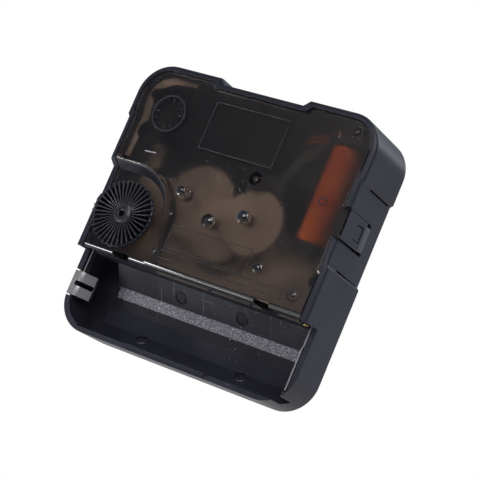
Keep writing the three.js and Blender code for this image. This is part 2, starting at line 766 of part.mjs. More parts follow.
// The dial train and its arbors
function intermediateWheel() {
  const z0 = intermediateWheelZ;
  return join(
    wheel(intermediateAxis, teeth.intermediate, intermediateModule, intermediatePhase, z0,
      z0 + wheelThickness),
    pinion(intermediateAxis, teeth.intermediatePinion, secondModule, 0, secondWheelZ - gap, z0 + gap),
    rod(intermediateAxis, pivotRadius, bridgeZ + gap, pivotTop, 8));
}

function secondWheel() {
  const z0 = secondWheelZ;
  const bottom = thirdWheelZ - gap / 2;
  return cut(
    join(
      wheel(centreAxis, teeth.second, secondModule, secondPhase, z0, z0 + wheelThickness),
      pinion(centreAxis, teeth.secondPinion, thirdModule, 0, bottom, z0 + gap)),
    rod(centreAxis, secondArborRadius + secondArborGap, 0, caseDepth, 8));
}

function secondArbor() {
  const shoulder = thirdWheelZ - 2 * gap;
  return turned(centreAxis, [
    [0, secondPinTip], [secondPinRadius, secondPinTip], [secondPinRadius, shoulder],
    [secondArborRadius, shoulder], [secondArborRadius, pivotTop], [0, pivotTop],
  ], 12);
}

function thirdWheel() {
  const z0 = thirdWheelZ;
  return join(
    wheel(thirdAxis, teeth.third, thirdModule, thirdPhase, z0, z0 + wheelThickness),
    pinion(thirdAxis, teeth.thirdPinion, centreModule, 0, centreWheelZ - gap / 2, z0 + gap),
    rod(thirdAxis, pivotRadius, middlePlateZ + gap, pivotTop, 8));
}

function centreWheel() {
  const z0 = centreWheelZ;
  return cut(
    wheel(centreAxis, teeth.centre, centreModule, centrePhase, z0, z0 + wheelThickness),
    rod(centreAxis, cannonNeckRadius + gap, 0, caseDepth, 16));
}

function clutchSpring() {
  return cut(
    rod(centreAxis, clutchRadius, clutchZ, clutchZ + clutchThickness, 20),
    rod(centreAxis, cannonNeckRadius + gap, 0, caseDepth, 20));
}

function minuteCannon() {
  const gearLow = motionWheelZ - gap / 2;
  const gearHigh = gearLow + pinionThickness;
  const neckTop = centreWheelZ + wheelThickness + gap / 2;
  const tube = join(
    rod(centreAxis, minuteTubeRadius, minuteTubeTip, gearLow + gap, 20),
    pinion(centreAxis, teeth.cannon, motionModule, cannonPhase, gearLow, gearHigh),
    rod(centreAxis, cannonNeckRadius, gearHigh - gap, neckTop, 16));
  const flats = [-1, 1].map((side) => {
    const xs = [side * minuteFlatHalf, side * (minuteTubeRadius + overrun)].sort((a, b) => a - b);
    return block(xs[0], xs[1], -half, half, minuteTubeTip - overrun, minuteTubeTip + minuteFlatLength);
  });
  return cut(tube, ...flats, rod(centreAxis, minuteBore, minuteTubeTip - overrun, caseDepth, 12));
}

function motionWheel() {
  const z0 = motionWheelZ;
  return cut(
    join(
      wheel(motionAxis, teeth.motion, motionModule, motionPhase, z0, z0 + motionWheelThickness),
      pinion(motionAxis, teeth.motionPinion, hourModule, 0, hourWheelZ - gap / 2, z0 + gap)),
    rod(motionAxis, settingPinRadius + gap, 0, caseDepth, 12));
}

function hourWheel() {
  const z0 = hourWheelZ;
  return cut(
    join(
      wheel(centreAxis, teeth.hour, hourModule, hourPhase, z0, z0 + hourWheelThickness),
      rod(centreAxis, hourTubeRadius, hourTubeTip, z0 + gap, 20)),
    rod(centreAxis, minuteTubeRadius + gap, hourTubeTip - overrun, caseDepth, 20));
}

// The motor: magnet, pinion, stator, coil and its spool
function rotorMagnet() {
  return cut(
    rod(rotorAxis, magnetRadius, magnetBottom, magnetTop, 20),
    rod(rotorAxis, rotorArborRadius + gap, 0, caseDepth, 12));
}

function rotorPinion() {
  const z0 = intermediateWheelZ - gap / 2;
  return join(
    pinion(rotorAxis, teeth.rotorPinion, intermediateModule, rotorPhase, z0, z0 + pinionThickness),
    rod(rotorAxis, rotorArborRadius, magnetBottom - gap, z0 + gap, 10),
    rod(rotorAxis, pivotRadius, middlePlateZ + gap, pivotTop, 8));
}

function statorPlate() {
  const padWidth = coreOverhang - gap;
  const z1 = statorZ + statorThickness;
  const padFarX = coilX + 2 * coreHalfWidth;
  const padNearX = coilX - coilFlangeHalf - 2 * coreHalfWidth;
  const padTopY = coreHigh - padWidth / 2;
  const padLowY = coreLow + padWidth / 2;
  const limb = (padY) => {
    const line = heading(rotorAxis, [padNearX, padY]);
    const root = (side) => [
      rotorAxis[0] - (side * statorWidth * Math.sin(line)) / 2,
      rotorAxis[1] + (side * statorWidth * Math.cos(line)) / 2,
    ];
    const tipX = padNearX + statorWidth / 3;
    const tips = [[tipX, padY - padWidth / 2], [tipX, padY + padWidth / 2]];
    return prism(outlineOf([root(1), root(-1), ...tips]), statorZ, z1);
  };
  const pad = (padY) => bar([padNearX, padY], [padFarX, padY], padWidth, statorZ, z1);
  const sheet = join(
    limb(padTopY), pad(padTopY), limb(padLowY), pad(padLowY),
    rod(rotorAxis, statorLobeRadius, statorZ, z1, 24));
  return cut(sheet, rod(rotorAxis, magnetRadius + gap, 0, caseDepth, 24));
}

// A body turned about the coil's own axis, which runs along y.
function spun(profile, sides) {
  const points = profile.map(([radius, y]) => new THREE.Vector2(radius, y));
  const body = new THREE.LatheGeometry(points, sides);
  body.translate(coilX, 0, coilZ);
  return solid(body);
}

function coilCore() {
  return block(coilX - coreHalfWidth, coilX + coreHalfWidth, coreLow, coreHigh, coreZ, coreZ + coreThickness);
}

function coilBobbin() {
  const flange = (y) => block(coilX - coilFlangeHalf, coilX + coilFlangeHalf, y, y + coilFlangeThickness,
    coilZ - coilFlangeHalf, coilZ + coilFlangeHalf);
  const spoolLow = coilLow - gap;
  const spoolHigh = coilHigh + gap;
  const spool = spun([[0, spoolLow], [spoolRadius, spoolLow], [spoolRadius, spoolHigh], [0, spoolHigh]], 16);
  const sockets = terminalXs.map((x) => block(x - terminalRadius - gap, x + terminalRadius + gap,
    coilHigh + gap, coilHigh + overrun, terminalZ - terminalRadius - gap, terminalZ + terminalRadius + gap));
  return cut(
    join(flange(coilLow - coilFlangeThickness), flange(coilHigh), spool),
    block(coilX - coreHalfWidth - gap, coilX + coreHalfWidth + gap, -half, half, coreZ - gap,
      coreZ + coreThickness + gap),
    ...sockets);
}

function coilWinding() {
  const bore = spoolRadius + gap;
  const low = coilLow + gap;
  const high = coilHigh - gap;
  const crown = gap / 2;
  return spun([
    [bore, low], [coilRadius - crown, low], [coilRadius, low + crown],
    [coilRadius, high - crown], [coilRadius - crown, high], [bore, high], [bore, low],
  ], 24);
}

function coilTerminal(x) {
  const pin = new THREE.CylinderGeometry(terminalRadius, terminalRadius, terminalLength, 8);
  pin.translate(x, terminalLow + terminalLength / 2, terminalZ);
  return solid(pin);
}

// A fine lead from a coil terminal, over the stator, to its pad on the board
function coilLead(x, end) {
  const boardTop = boardZ + boardThickness;
  const y = terminalLow + terminalLength + gap + leadRadius;
  const overStatorZ = statorZ + statorThickness + 4 * gap;
  const route = new THREE.CatmullRomCurve3([
    new THREE.Vector3(x, y, terminalZ),
    new THREE.Vector3(coilX - coilFlangeHalf - leadOverhang, (y + end[1]) / 2, coilZ + gap),
    new THREE.Vector3(end[0] + leadReach, end[1], overStatorZ),
    new THREE.Vector3(end[0], end[1], boardTop + gap + leadRadius),
  ]);
  const section = outlineOf(Array.from({ length: leadSides }, (unused, side) => {
    const angle = (turn * side) / leadSides;
    return [leadRadius * Math.cos(angle), leadRadius * Math.sin(angle)];
  }));
  const settings = { steps: leadSteps, extrudePath: route, bevelEnabled: false };
  return solid(new THREE.ExtrudeGeometry(section, settings));
}

// The circuit board with its chip and crystal
function circuitBoard() {
  return block(boardLeft, boardRight, boardLow, boardHigh, boardZ, boardZ + boardThickness);
}

function chipBlob() {
  const z0 = boardZ + boardThickness + gap;
  return turned(chipPlace, [
    [0, z0], [chipRadius, z0],
    [chipRadius * chipWaistShare, z0 + chipHeight * chipShoulderShare], [0, z0 + chipHeight],
  ], 16);
}

function crystalCan() {
  const can = new THREE.CylinderGeometry(crystalRadius, crystalRadius, crystalLength, 14);
  can.rotateZ(Math.PI / 2);
  can.translate(crystalPlace[0], crystalPlace[1], boardZ + boardThickness + gap + crystalRadius);
  return solid(can);
}

function crystalLead(side) {
  const y = crystalPlace[1] + (side * crystalRadius) / 2;
  const z = boardZ + boardThickness + gap;
  const x1 = crystalEnd - crystalLeadLength;
  return join(
    block(x1, crystalEnd, y - crystalLeadSize / 2, y + crystalLeadSize / 2, z + crystalRadius,
      z + crystalRadius + crystalLeadSize),
    block(x1, x1 + crystalLeadSize, y - crystalLeadSize / 2, y + crystalLeadSize / 2, z,
      z + crystalRadius + crystalLeadSize));
}

// Contact strips: each is one bent piece that runs from the bay to the board
const clipProfile = [
  [stripThickness / 2 - half, clipLegBottom],
  [stripThickness / 2 - half, clipTop],
  [stripThickness - armBayX, clipTop],
  [clipReach - armBayX, clipTop - clipBendDrop],
  [clipReach - clipTipBack - armBayX, clipTop - clipTipDrop],
  [-armBayX, clipTop - clipDepth],
];

// A strip on edge that follows a line of points in the case
function strip(points) {
  return prism(outlineOf(ribbon(points, stripThickness)), armZ, armZ + armHeight);
}

// The start of a strip's line: along the bay's end, past the partition and over to the side wall
function wayOut(side, startY) {
  return [[side * armBayX, startY], [side * armBayX, jogY], [side * armWallX, jogY]];
}

function negativeContact() {
  const low = clipY - clipWidth / 2;
  const high = clipY + clipWidth / 2;
  const t = stripThickness / 2;
  const slot = block(2 * stripThickness + gap - half, troughLeft, clipY - slotWidth / 2,
    clipY + slotWidth / 2, clipTop - slotDepth, caseDepth);
  const clip = cut(alongY(ribbon(clipProfile, stripThickness), low, high), slot);
  const root = block(-armBayX - t, -armBayX + t, high - overrun, high + t, clipTop - clipDepth, clipTop);
  const arm = strip([
    ...wayOut(-1, high - overrun), [-armWallX, boardMiddle], [boardLeft + cornerPostRadius, boardMiddle]]);
  return join(clip, root, arm);
}

function positiveContact() {
  const t = stripThickness / 2;
  const turnY = coreHigh + gap + 2 * t;
  const endX = boardRight - cornerPostRadius;
  const bend = cornerRadius - wellInset - 2 * gap;
  const corner = bendShares.map((share) => [
    armWallX - bend * (1 - Math.cos((share * Math.PI) / 2)),
    turnY - bend * (1 - Math.sin((share * Math.PI) / 2)),
  ]);
  const arm = strip([...wayOut(1, plateHigh - overrun), ...corner, [endX, turnY], [endX, boardHigh - gap]]);
  const plate = block(armBayX - t, armBayX + t, plateLow, plateHigh, plateBottom, clipTop);
  const dimples = dimpleYs.map((y) => {
    const bump = new THREE.CylinderGeometry(dimpleRadius, dimpleRadius / 2, dimpleHeight, 12);
    bump.rotateZ(-Math.PI / 2);
    bump.translate(armBayX - t - dimpleHeight / 2, y, clipTop - 2 * dimpleRadius);
    return solid(bump);
  });
  return join(plate, ...dimples, arm);
}

// The setting knob and the shaft that it turns
function settingKnob() {
  const faceZ = knobTop - knobDish;
  const dishOuter = knobRadius - 2 * knobRibDepth;
  const above = knobTop + overrun;
  const rim = [];
  for (let i = 0; i < knobRibs; i += 1) {
    for (const [turnShare, depthShare] of knobRibShares) {
      const angle = (turn * (i + turnShare)) / knobRibs;
      const radius = knobRadius - knobRibDepth * depthShare;
      rim.push([knobAxis[0] + radius * Math.cos(angle), knobAxis[1] + radius * Math.sin(angle)]);
    }
  }
  const dish = turned(knobAxis, [
    [knobHubRadius, above], [knobHubRadius, faceZ], [dishOuter, knobTop], [dishOuter, above],
    [knobHubRadius, above],
  ], 24);
  return cut(
    prism(outlineOf(rim), knobBottom, knobTop),
    dish,
    rod(knobAxis, settingShaftRadius + gap, 0, knobTop - 2 * gap, 12),
    rod(knobAxis, knobHoleRadius, 0, above, 10));
}

function settingArbor() {
  const gearLow = motionWheelZ - gap / 2;
  const gearHigh = gearLow + pinionThickness;
  const bottom = floorThickness + gap;
  return cut(
    join(
      rod(knobAxis, settingHubRadius, bottom, gearHigh, 12),
      wheel(knobAxis, teeth.knobGear, motionModule, 0, gearLow, gearHigh),
      rod(knobAxis, settingShaftRadius, gearHigh - gap, knobTop - 3 * gap, 12)),
    rod(knobAxis, settingPinRadius + gap, bottom - overrun, postPivotTop, 12));
}

// Finishes
const blackPlastic = { color: 0x2b2c31, roughness: 0.45, metalness: 0 };
const smokedPlastic = { color: 0x241d18, roughness: 0.18, metalness: 0 };
const naturalPlastic = { color: 0x8d7c6a, roughness: 0.5, metalness: 0 };
const whitePlastic = { color: 0xcfc8ba, roughness: 0.5, metalness: 0 };
const steel = { color: 0xb8b9bc, roughness: 0.3, metalness: 1 };
const brass = { color: 0xb58a45, roughness: 0.35, metalness: 1 };
const nickel = { color: 0xc4c2bd, roughness: 0.3, metalness: 1 };
const copper = { color: 0xb5541f, roughness: 0.35, metalness: 0.6 };
const iron = { color: 0x6f706d, roughness: 0.45, metalness: 0.9 };
const ferrite = { color: 0x2d2c2e, roughness: 0.6, metalness: 0.2 };
const board = { color: 0x28312a, roughness: 0.55, metalness: 0 };
const epoxy = { color: 0x101012, roughness: 0.3, metalness: 0 };

// The whole movement, each piece by its name, its solid and its finish
const pieces = [
  ['front_case', frontCase(), blackPlastic],
  ['threaded_bush', threadedBush(), brass],
  ['middle_plate', middlePlate(), naturalPlastic],
  ['rear_cover', rearCover(), smokedPlastic],
  ['circuit_board', circuitBoard(), board],
  ['chip_blob', chipBlob(), epoxy],
  ['crystal_can', crystalCan(), nickel],
  ['crystal_lead_1', crystalLead(-1), nickel],
  ['crystal_lead_2', crystalLead(1), nickel],
  ['coil_core', coilCore(), iron],
  ['coil_bobbin', coilBobbin(), blackPlastic],
  ['coil_winding', coilWinding(), copper],
  ['coil_terminal_1', coilTerminal(terminalXs[0]), nickel],
  ['coil_terminal_2', coilTerminal(terminalXs[1]), nickel],
  ['coil_lead_1', coilLead(terminalXs[0], leadEnds[0]), copper],
  ['coil_lead_2', coilLead(terminalXs[1], leadEnds[1]), copper],
  ['stator_plate', statorPlate(), iron],
  ['rotor_magnet', rotorMagnet(), ferrite],
  ['rotor_pinion', rotorPinion(), whitePlastic],
  ['intermediate_wheel', intermediateWheel(), naturalPlastic],
  ['second_wheel', secondWheel(), naturalPlastic],
  ['second_arbor', secondArbor(), steel],
  ['third_wheel', thirdWheel(), naturalPlastic],
  ['centre_wheel', centreWheel(), naturalPlastic],
  ['clutch_spring', clutchSpring(), steel],
  ['minute_cannon', minuteCannon(), whitePlastic],
  ['motion_wheel', motionWheel(), whitePlastic],
  ['hour_wheel', hourWheel(), whitePlastic],
  ['negative_contact', negativeContact(), nickel],
  ['positive_contact', positiveContact(), nickel],
  ['setting_knob', settingKnob(), blackPlastic],
  ['setting_arbor', settingArbor(), whitePlastic],
];

const bench = new THREE.Group();
for (const [name, body, finish] of pieces) {
  const mesh = new THREE.Mesh(geometryOf(body), new THREE.MeshStandardMaterial(finish));
  mesh.name = name;
  bench.add(mesh);
}

// The bench frame stands upright with its dial side to the front.
bench.rotation.set(Math.PI / 2, 0, Math.PI, 'ZYX');

const movement = new THREE.Group();
movement.add(bench);

export default movement;
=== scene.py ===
# %% [markdown]
# A wall clock's quartz movement, seen from behind. The solids come ready packed, each on its own body, so
# that the hands' wheels and the knob turn. Here they get their finish: softened edges, ribs, marks and
# materials. The part is loaded first, because every piece takes its place from it.

# %% Load the movement
import math

import bmesh
import bpy
from mathutils import Matrix, Vector


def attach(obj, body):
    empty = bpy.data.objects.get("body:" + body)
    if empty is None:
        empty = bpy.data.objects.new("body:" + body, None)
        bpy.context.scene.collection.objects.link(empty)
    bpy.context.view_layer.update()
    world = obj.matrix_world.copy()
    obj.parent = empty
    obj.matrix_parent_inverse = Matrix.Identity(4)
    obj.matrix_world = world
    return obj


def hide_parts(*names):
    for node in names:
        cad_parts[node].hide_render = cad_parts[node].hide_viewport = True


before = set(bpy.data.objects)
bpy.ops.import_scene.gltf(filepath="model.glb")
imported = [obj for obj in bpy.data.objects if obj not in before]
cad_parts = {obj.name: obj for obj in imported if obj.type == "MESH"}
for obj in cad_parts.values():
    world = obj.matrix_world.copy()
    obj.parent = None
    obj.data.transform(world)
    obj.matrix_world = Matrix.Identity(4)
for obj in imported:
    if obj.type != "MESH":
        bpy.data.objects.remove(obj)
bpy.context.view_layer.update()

# %% [markdown]
# A clockmaker lays the movement face down and measures it from the back: x to the right, y up, and z from
# the dial to the cover, in millimetres. One matrix takes that bench frame to metres in the scene. It would
# also work to model in metres at once, but bench sizes are easier to read and to check with a calliper.

# %% The bench frame
MM = 0.001
BENCH = Matrix(((-MM, 0, 0, 0), (0, 0, MM, 0), (0, MM, 0, 0), (0, 0, 0, 1)))
UNBENCH = BENCH.inverted()
SCENE = bpy.context.scene
print("one bench millimetre is", MM, "m")

# %% [markdown]
# The camera stands where the photographer's did: to the lower right of the cover, looking down on it with a
# long lens and rolled to the side. Its place was found by fitting a pinhole camera to the outline of the
# case. Three axes set its turn, because that fit gives them directly and angles would have to be worked out.

# %% The camera
CAMERA_PLACE = Vector((-0.16457, 0.26256, -0.04327))
CAMERA_RIGHT = Vector((-0.80822, -0.44465, 0.38609))
CAMERA_UP = Vector((0.26071, 0.31772, 0.91164))
CAMERA_BACK = Vector((-0.52804, 0.83746, -0.14086))
camera_data = bpy.data.cameras.new("photo_camera")
camera_data.lens = 118.73
camera_data.sensor_width = 36
camera_data.clip_start = 0.01
camera = bpy.data.objects.new("photo_camera", camera_data)
SCENE.collection.objects.link(camera)
turn = Matrix((CAMERA_RIGHT, CAMERA_UP, CAMERA_BACK)).transposed().to_4x4()
camera.matrix_world = Matrix.Translation(CAMERA_PLACE) @ turn
SCENE.camera = camera
SCENE.view_settings.view_transform = "Standard"
print("camera is", round(camera.location.length * 1000), "mm from the movement")

# %% [markdown]
# Shader nodes are wired by many short lines. A few small helpers keep that readable: one adds a node with
# its values and links, others do the sums, noises and reliefs that most finishes need, and the last two make
# and place named node groups.

# %% Helpers for materials
KINDS = {"float": "NodeSocketFloat", "vector": "NodeSocketVector"}


def feed(tree, node, inputs):
    """Gives a node its inputs by name or number. Each is a value or another node's socket."""
    for name, value in inputs.items():
        if isinstance(value, bpy.types.NodeSocket):
            tree.links.new(value, node.inputs[name])
        else:
            node.inputs[name].default_value = value
    return node


def add(tree, kind, inputs=None, **settings):
    """A new shader node with its inputs and settings."""
    made = tree.nodes.new("ShaderNode" + kind)
    for name, value in settings.items():
        setattr(made, name, value)
    return feed(tree, made, inputs or {})


def blend(tree, share, first, second):
    """A mix of two colours by a share from 0 to 1."""
    return add(tree, "Mix", {0: share, 6: first, 7: second}, data_type="RGBA").outputs[2]


def ramp(tree, value, low, high, start=0.0, end=1.0):
    """The value from low to high, spread smoothly over start to end."""
    numbers = {"Value": value, "From Min": low, "From Max": high, "To Min": start, "To Max": end}
    return add(tree, "MapRange", numbers, interpolation_type="SMOOTHSTEP").outputs[0]


def times(tree, one, other):
    """One value times another."""
    return add(tree, "Math", {0: one, 1: other}, operation="MULTIPLY").outputs[0]


def raised(tree, base, value, share):
    """A base plus a share of a value."""
    return add(tree, "Math", {0: value, 1: share, 2: base}, operation="MULTIPLY_ADD").outputs[0]


def larger(tree, one, other):
    """The larger of two values."""
    return add(tree, "Math", {0: one, 1: other}, operation="MAXIMUM").outputs[0]


def noise(tree, place, scale, detail=2.0, roughness=0.5):
    """A noise from 0 to 1 over a place, with so many grains per metre."""
    numbers = {"Vector": place, "Scale": scale, "Detail": detail, "Roughness": roughness}
    return add(tree, "TexNoise", numbers).outputs[0]


def relief(tree, height, distance, strength=1.0):
    """The normal of a surface whose heights differ by so many metres."""
    return add(tree, "Bump", {"Height": height, "Distance": distance, "Strength": strength}).outputs[0]


def group(name, inputs, outputs):
    """A new node group, its input node and its output node."""
    tree = bpy.data.node_groups.new(name, "ShaderNodeTree")
    for label, kind, value in inputs:
        socket = tree.interface.new_socket(label, in_out="INPUT", socket_type=KINDS[kind])
        socket.default_value = value
    for label in outputs:
        tree.interface.new_socket(label, in_out="OUTPUT", socket_type=KINDS["float"])
    return tree, tree.nodes.new("NodeGroupInput"), tree.nodes.new("NodeGroupOutput")


def place_group(tree, name, inputs):
    """A copy of a named group inside a material."""
    made = tree.nodes.new("ShaderNodeGroup")
    made.node_tree = bpy.data.node_groups[name]
    return feed(tree, made, inputs)


print("material helpers ready")

# %% [markdown]
# Moulded plastic takes the skin of its steel mould. On the case that is a fine spark-eroded grain, over
# which the plastic sinks and swells a little as it cools. Two scales of noise give that. The group only puts
# out heights and masks, and each material decides what they do, so one grain serves every plastic here.

# %% Node group for moulded grain
tree, given, result = group(
    "moulded_grain",
    [("Grains per metre", "float", 3000.0), ("Sink", "float", 0.3)],
    ["Height", "Grain", "Drift"],
)
place = add(tree, "TexCoord").outputs["Object"]
fine = noise(tree, place, given.outputs["Grains per metre"], 3.0, 0.6)
drift = ramp(tree, noise(tree, place, 95.0), 0.35, 0.65)
sunk = times(tree, drift, given.outputs["Sink"])
height = add(tree, "Math", {0: fine, 1: sunk}, operation="ADD").outputs[0]
feed(tree, result, {"Height": height, "Grain": ramp(tree, fine, 0.3, 0.7), "Drift": drift})
print("group moulded_grain puts out height, grain and drift")

# %% [markdown]
# A used movement has been pushed into clocks, so its edges shine and its flats carry hair scratches and a
# little dust. The scratches are a noise that is stretched until only thin streaks stay. Edge wear could be
# painted on by hand. It is found instead where the normal of a slightly rounded surface differs from the
# plain one, so it keeps to the edges of large flats too.

# %% Node group for handling wear
STREAKS = ((24.0, (90, 90, 3200)), (-51.0, (2600, 90, 90)))
WORN_RADIUS = 0.0002
tree, given, result = group(
    "handling_wear",
    [("Scratches", "float", 0.3), ("Dust", "float", 0.3), ("Edges", "float", 0.5)],
    ["Scratch", "Dust", "Edge"],
)
place = add(tree, "TexCoord").outputs["Object"]
streaks = []
for angle, scale in STREAKS:
    spin = add(tree, "Mapping", {"Vector": place, "Rotation": (0, math.radians(angle), 0), "Scale": scale})
    streaks.append(ramp(tree, noise(tree, spin.outputs[0], 1.0), 0.66, 0.74))
both = larger(tree, streaks[0], streaks[1])
patch = noise(tree, place, 60.0)
scratch = times(tree, times(tree, both, ramp(tree, patch, 0.45, 0.62)), given.outputs["Scratches"])
specks = add(tree, "TexVoronoi", {"Vector": place, "Scale": 900.0}).outputs["Distance"]
dust = times(tree, ramp(tree, specks, 0.16, 0.08), ramp(tree, patch, 0.5, 0.7))
dust = times(tree, dust, given.outputs["Dust"])
rounded = add(tree, "Bevel", {"Radius": WORN_RADIUS}, samples=4).outputs["Normal"]
plain = add(tree, "NewGeometry").outputs["Normal"]
likeness = add(tree, "VectorMath", {0: rounded, 1: plain}, operation="DOT_PRODUCT").outputs["Value"]
edge = times(tree, ramp(tree, likeness, 0.995, 0.9), given.outputs["Edges"])
feed(tree, result, {"Scratch": scratch, "Dust": dust, "Edge": edge})
print("group handling_wear puts out scratch, dust and edge")

# %% [markdown]
# Rolled, drawn and stamped metal shows fine lines in the direction in which it was worked. The group
# stretches noise along one axis, which each metal turns for itself.

# %% Node group for worked metal
tree, given, result = group(
    "worked_metal",
    [("Stretch", "vector", (300.0, 300.0, 9000.0)), ("Stain", "float", 0.4)],
    ["Lines", "Stain"],
)
place = add(tree, "TexCoord").outputs["Object"]
pulled = add(tree, "Mapping", {"Vector": place, "Scale": given.outputs["Stretch"]})
lines = noise(tree, pulled.outputs[0], 1.0, 3.0)
cloud = ramp(tree, noise(tree, place, 420.0, 4.0), 0.45, 0.75)
feed(tree, result, {"Lines": lines, "Stain": times(tree, cloud, given.outputs["Stain"])})
print("group worked_metal puts out lines and stain")


# %% [markdown]
# Most pieces are moulded plastic or sheet and drawn metal, so two functions make those families. What is the
# same all over the surface is set on the shader's own sockets. What changes over it comes from the groups.

# %% Plastics
DUST_TONE = (0.42, 0.41, 0.39, 1)
UNEVEN, DUST_ROUGHENS, WEAR_POLISHES = 0.06, 0.35, -0.15


def new_material(name):
    """An empty material with a Principled shader, its tree and the shader."""
    made = bpy.data.materials.new(name)
    made.use_nodes = True
    made.node_tree.nodes.clear()
    shader = made.node_tree.nodes.new("ShaderNodeBsdfPrincipled")
    out = made.node_tree.nodes.new("ShaderNodeOutputMaterial")
    made.node_tree.links.new(shader.outputs[0], out.inputs[0])
    return made, made.node_tree, shader


def moulded(
    name, colour, worn, rough,
    grain=3000.0, bump=0.000012, wear=(0.3, 0.3, 0.5), gloss=0.5, shade=0.78, coat=0.0,
):
    """Moulded plastic: two tones that drift, a grain in relief, and wear that bares a lighter tone."""
    made, tree, shader = new_material(name)
    skin = place_group(tree, "moulded_grain", {"Grains per metre": grain}).outputs
    use = place_group(tree, "handling_wear", dict(zip(("Scratches", "Dust", "Edges"), wear))).outputs
    darker = tuple(x * shade for x in colour)
    tone = blend(tree, skin["Drift"], (*darker, 1), (*colour, 1))
    tone = blend(tree, use["Edge"], tone, (*worn, 1))
    tone = blend(tree, use["Scratch"], tone, (*worn, 1))
    tone = blend(tree, use["Dust"], tone, DUST_TONE)
    dull = ramp(tree, skin["Grain"], 0.0, 1.0, rough - UNEVEN, rough + UNEVEN)
    dull = raised(tree, raised(tree, dull, use["Dust"], DUST_ROUGHENS), use["Edge"], WEAR_POLISHES)
    feed(tree, shader, {"Base Color": tone, "Roughness": dull, "Normal": relief(tree, skin["Height"], bump)})
    feed(tree, shader, {"Specular IOR Level": gloss})
    if coat:
        feed(tree, shader, {"Coat Weight": coat, "Coat Roughness": 0.06})
    return made


case_black = moulded(
    "case_black", (0.021, 0.021, 0.03), (0.05, 0.05, 0.06), 0.34,
    grain=3500.0, bump=0.000004, wear=(0.12, 0.2, 0.4), gloss=0.3,
)
# A lighter tone painted on the facet at 40 degrees as the light that falls on it, over a real satin finish.
satin_painted_light = moulded(
    "satin_painted_light", (0.036, 0.036, 0.045), (0.16, 0.16, 0.17), 0.5,
    grain=2500.0, bump=0.00002, wear=(1.0, 0.6, 0.5), gloss=0.25, shade=0.6,
)
dull_black = moulded(
    "dull_black", (0.02, 0.02, 0.025), (0.1, 0.1, 0.11), 0.55,
    grain=2500.0, bump=0.00003, wear=(1.0, 0.8, 0.5), gloss=0.12,
)
knob_black = moulded(
    "knob_black", (0.014, 0.014, 0.019), (0.1, 0.1, 0.11), 0.3,
    grain=3500.0, bump=0.000004, wear=(0.1, 0.2, 0.7),
)
# Nearly black, painted where shade falls: in the knob's hole and dish, the marks' inner walls, and narrow
# gaps and notches.
painted_shade_black = moulded(
    "painted_shade_black", (0.001, 0.001, 0.001), (0.002, 0.002, 0.002), 0.9, wear=(0.0, 0.0, 0.0), gloss=0.05,
)
pale_wheel = moulded(
    "pale_wheel", (0.62, 0.52, 0.43), (0.75, 0.68, 0.58), 0.4,
    grain=2500.0, bump=0.000006, wear=(0.1, 0.2, 0.3), shade=0.74,
)
black_card = moulded(
    "black_card", (0.002, 0.0025, 0.003), (0.006, 0.006, 0.006), 0.8,
    grain=5000.0, bump=0.00002, wear=(0.1, 0.0, 0.1), gloss=0.0,
)
# The ridges' pale edges are partly wear and partly painted sheen.
ridge_wear_and_sheen = moulded(
    "ridge_wear_and_sheen", (0.02, 0.02, 0.023), (0.1, 0.1, 0.11), 0.25,
    grain=2500.0, bump=0.000006, wear=(0.3, 0.3, 0.6), gloss=0.3,
)
pale_mark_grey = moulded(
    "pale_mark_grey", (0.34, 0.34, 0.37), (0.5, 0.5, 0.5), 0.4,
    grain=2500.0, bump=0.00002, wear=(0.2, 0.2, 0.5),
)
rough_grey = moulded(
    "rough_grey", (0.09, 0.09, 0.1), (0.2, 0.2, 0.21), 0.5,
    grain=5200.0, bump=0.00006, wear=(0.3, 0.6, 0.5), gloss=0.4,
)
line_brown = moulded(
    "line_brown", (0.13, 0.09, 0.06), (0.3, 0.24, 0.2), 0.6,
    grain=2500.0, bump=0.00004, wear=(0.6, 0.8, 0.4),
)
dark_edge = moulded(
    "dark_edge", (0.012, 0.011, 0.012), (0.2, 0.2, 0.2), 0.1,
    grain=1500.0, bump=0.000002, wear=(0.1, 0.2, 0.2), gloss=1.0, coat=1.0,
)
beige_plate = moulded(
    "beige_plate", (0.72, 0.62, 0.52), (0.8, 0.7, 0.6), 0.5,
    grain=2200.0, bump=0.00001, wear=(0.3, 0.4, 0.3), shade=0.58,
)
board_green = moulded(
    "board_green", (0.02, 0.028, 0.022), (0.09, 0.07, 0.04), 0.35, grain=1200.0, bump=0.00002,
)
potting_black = moulded(
    "potting_black", (0.008, 0.008, 0.01), (0.03, 0.03, 0.03), 0.18, grain=900.0, bump=0.00002,
)
magnet_grey = moulded(
    "magnet_grey", (0.05, 0.05, 0.055), (0.16, 0.16, 0.17), 0.5, grain=4000.0, bump=0.00002,
)
print("plastics:", [material.name for material in bpy.data.materials])


# %% [markdown]
# Metals differ in colour, in how finely they were worked, and in how stained they are. The stretch says how
# many lines per metre cross each axis, so the largest number lies across the grain.

# %% Metals
LINE_DEPTH, STAINED_SHARE, STAIN_DULLS = 0.000004, 0.4, 0.25


def metal(name, colour, stained, rough, stretch):
    """Worked metal: fine lines in relief and in gloss, and a dull stain here and there."""
    made, tree, shader = new_material(name)
    work = place_group(tree, "worked_metal", {"Stretch": stretch, "Stain": STAINED_SHARE}).outputs
    tone = blend(tree, work["Stain"], (*colour, 1), (*stained, 1))
    dull = ramp(tree, work["Lines"], 0.3, 0.7, rough - 0.07, rough + 0.07)
    dull = raised(tree, dull, work["Stain"], STAIN_DULLS)
    lines = relief(tree, work["Lines"], LINE_DEPTH)
    feed(tree, shader, {"Base Color": tone, "Roughness": dull, "Normal": lines, "Metallic": 1.0})
    return made


